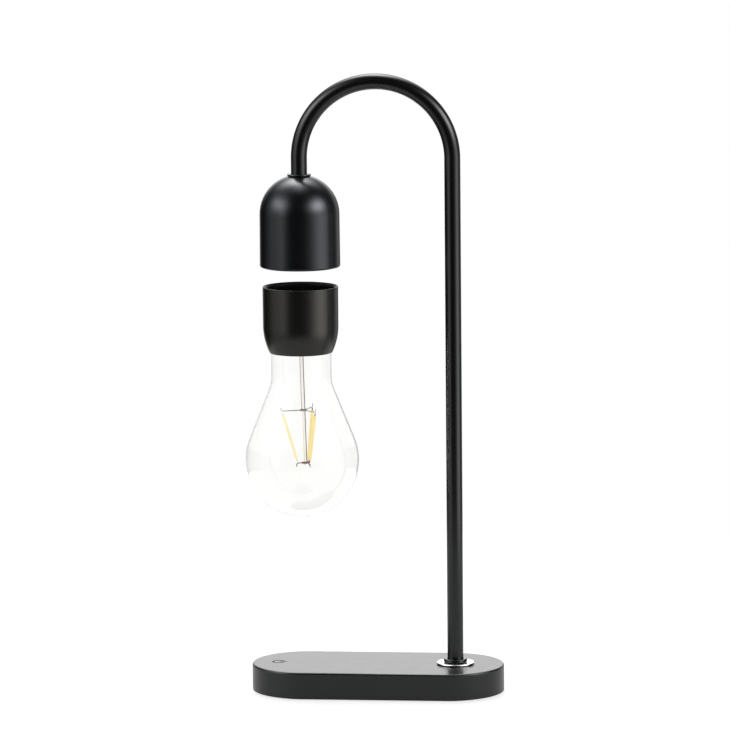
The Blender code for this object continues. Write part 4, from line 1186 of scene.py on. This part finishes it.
@dataclass
class Studio:
    """The floor, the world, the lamps and the camera."""

    focal: float = 4875.0
    image: float = 730.0
    sensor: float = 36.0
    distance: float = 2.9383
    height: float = 0.6294
    azimuth: float = 0.1005
    pitch: float = 0.14438
    yaw: float = 0.00218
    roll: float = -0.0092
    floor_radius: float = 0.55
    floor_share: float = 0.2
    floor_light: float = 1.2
    floor_level: float = 0.4
    ambient: float = 0.15
    glows: tuple[Glow, ...] = (
        Glow(72, -12, 19, 12, 2.5),
        Glow(66, 24, 16, 10, 9.5),
        Glow(-47, 14, 9, 19, 1.5),
        Glow(-64, 27, 17, 9, 4.6),
        Glow(-72, 16, 18, 40, 0.75),
        Glow(-13, -34, 40, 12, 0.18),
        Glow(185, 16, 16, 8, 2.5),
        Glow(-166, -26, 9, 13, 3.3),
        Glow(148, -5, 9, 16, 0.6),
        Glow(-165, 66, 30, 14, 12.0),
        Glow(0, 90, 400, 9, 3.0),
    )

    def camera(self) -> bpy.types.Object:
        """The camera at the photograph's place, aimed and rolled as it was."""
        place = Vector((
            self.distance * math.sin(self.azimuth), -self.distance * math.cos(self.azimuth), self.height
        ))
        aim, drop = self.azimuth + self.yaw, self.pitch
        level = math.cos(drop)
        forward = Vector((-math.sin(aim) * level, math.cos(aim) * level, -math.sin(drop)))
        right = Vector((math.cos(aim), math.sin(aim), 0))
        up = right.cross(forward)
        turned_right = math.cos(self.roll) * right + math.sin(self.roll) * up
        turned_up = math.cos(self.roll) * up - math.sin(self.roll) * right
        data = bpy.data.cameras.new("camera")
        data.sensor_width = self.sensor
        data.lens = self.focal * self.sensor / self.image
        data.clip_start, data.clip_end = 0.05, 50
        made = bpy.data.objects.new("camera", data)
        axes = Matrix((turned_right, turned_up, -forward)).transposed()
        made.matrix_world = Matrix.Translation(place) @ axes.to_4x4()
        bpy.context.scene.collection.objects.link(made)
        bpy.context.scene.camera = made
        return made

    def floor(self) -> bpy.types.Object:
        """A round floor that looks white, keeps the object's shadow, and can't be seen from below."""
        rings = np.linspace(0, self.floor_radius, 5)
        profile = np.stack([rings, 0 * rings - 0.0001], axis=-1)
        shape = turned(profile, 96, closed=False)
        mesh = bpy.data.meshes.new("floor")
        mesh.from_pydata(shape.points.tolist(), [], shape.faces.tolist())
        made = bpy.data.objects.new("floor", mesh)
        bpy.context.scene.collection.objects.link(made)
        sketch = Sketch("floor")
        light = sketch.node("ShaderNodeLightPath").outputs
        lit = tint((self.floor_share,) * 3)
        diffuse = sketch.node("ShaderNodeBsdfDiffuse", {"Color": lit}).outputs[0]
        seen = sketch.sum("MAXIMUM", light["Is Camera Ray"], light["Is Transmission Ray"])
        direct = sketch.sum("MULTIPLY", seen, 1 - self.floor_share * self.floor_light)
        mirrored = sketch.sum("MULTIPLY", light["Is Glossy Ray"], self.floor_level)
        glow = sketch.node(
            "ShaderNodeEmission", {"Strength": sketch.sum("ADD", direct, mirrored), "Color": (1, 1, 1, 1)}
        ).outputs[0]
        both = sketch.node("ShaderNodeAddShader", {0: diffuse, 1: glow}).outputs[0]
        clear = sketch.node("ShaderNodeBsdfTransparent").outputs[0]
        behind = sketch.node("ShaderNodeNewGeometry").outputs["Backfacing"]
        mixed = sketch.node("ShaderNodeMixShader", {0: behind, 1: both, 2: clear}).outputs[0]
        sketch.feed(sketch.tree.nodes["Material Output"].inputs["Surface"], mixed)
        sketch.tree.nodes.remove(sketch.shader)
        mesh.materials.append(sketch.material)
        return made

    def world(self) -> None:
        """White where the camera or clear glass sees it, and soft glows for every other ray."""
        world = bpy.data.worlds.new("studio")
        world.use_nodes = True
        bpy.context.scene.world = world
        sketch = Sketch("world_sketch")
        bpy.data.materials.remove(sketch.material)
        sketch.tree = world.node_tree
        sketch.tree.nodes.clear()
        way = sketch.node("ShaderNodeTexCoord").outputs["Generated"]
        parts = sketch.node("ShaderNodeSeparateXYZ", {0: way}).outputs
        front = sketch.sum("MULTIPLY", parts["Y"], -1.0)
        azimuth = sketch.sum("DEGREES", sketch.sum("ARCTAN2", parts["X"], front))
        elevation = sketch.sum("DEGREES", sketch.sum("ARCSINE", parts["Z"]))
        light = sketch.node("ShaderNodeLightPath").outputs
        total = sketch.sum("MULTIPLY", light["Is Diffuse Ray"], self.ambient)
        for glow in self.glows:
            total = sketch.sum("ADD", total, glow.light(sketch, azimuth, elevation))
        seen = sketch.sum("MAXIMUM", light["Is Camera Ray"], light["Is Transmission Ray"])
        rest = sketch.sum("MULTIPLY", sketch.sum("SUBTRACT", 1.0, seen), total)
        colour = sketch.sum("ADD", seen, rest)
        background = sketch.node("ShaderNodeBackground", {"Color": (1, 1, 1, 1), "Strength": colour})
        output = sketch.node("ShaderNodeOutputWorld")
        sketch.feed(output.inputs["Surface"], background.outputs[0])

    def build(self) -> None:
        """Sets up everything that isn't the object."""
        self.camera()
        self.floor()
        self.world()
        bpy.context.scene.view_settings.view_transform = "Standard"


def main() -> None:
    """Builds the lamp's assemblies and the studio round them."""
    logging.basicConfig(level=logging.INFO, format="%(name)s %(message)s")
    bulb_axis = (BULB_X, 0.0)
    Studio().build()
    Base().build()
    Charger().build()
    Stem().build()
    Head(axis=bulb_axis).build()
    FloatingCap(body="bulb", axis=bulb_axis).build()
    Bulb(body="bulb", axis=bulb_axis).build()


if __name__ == "__main__":
    main()
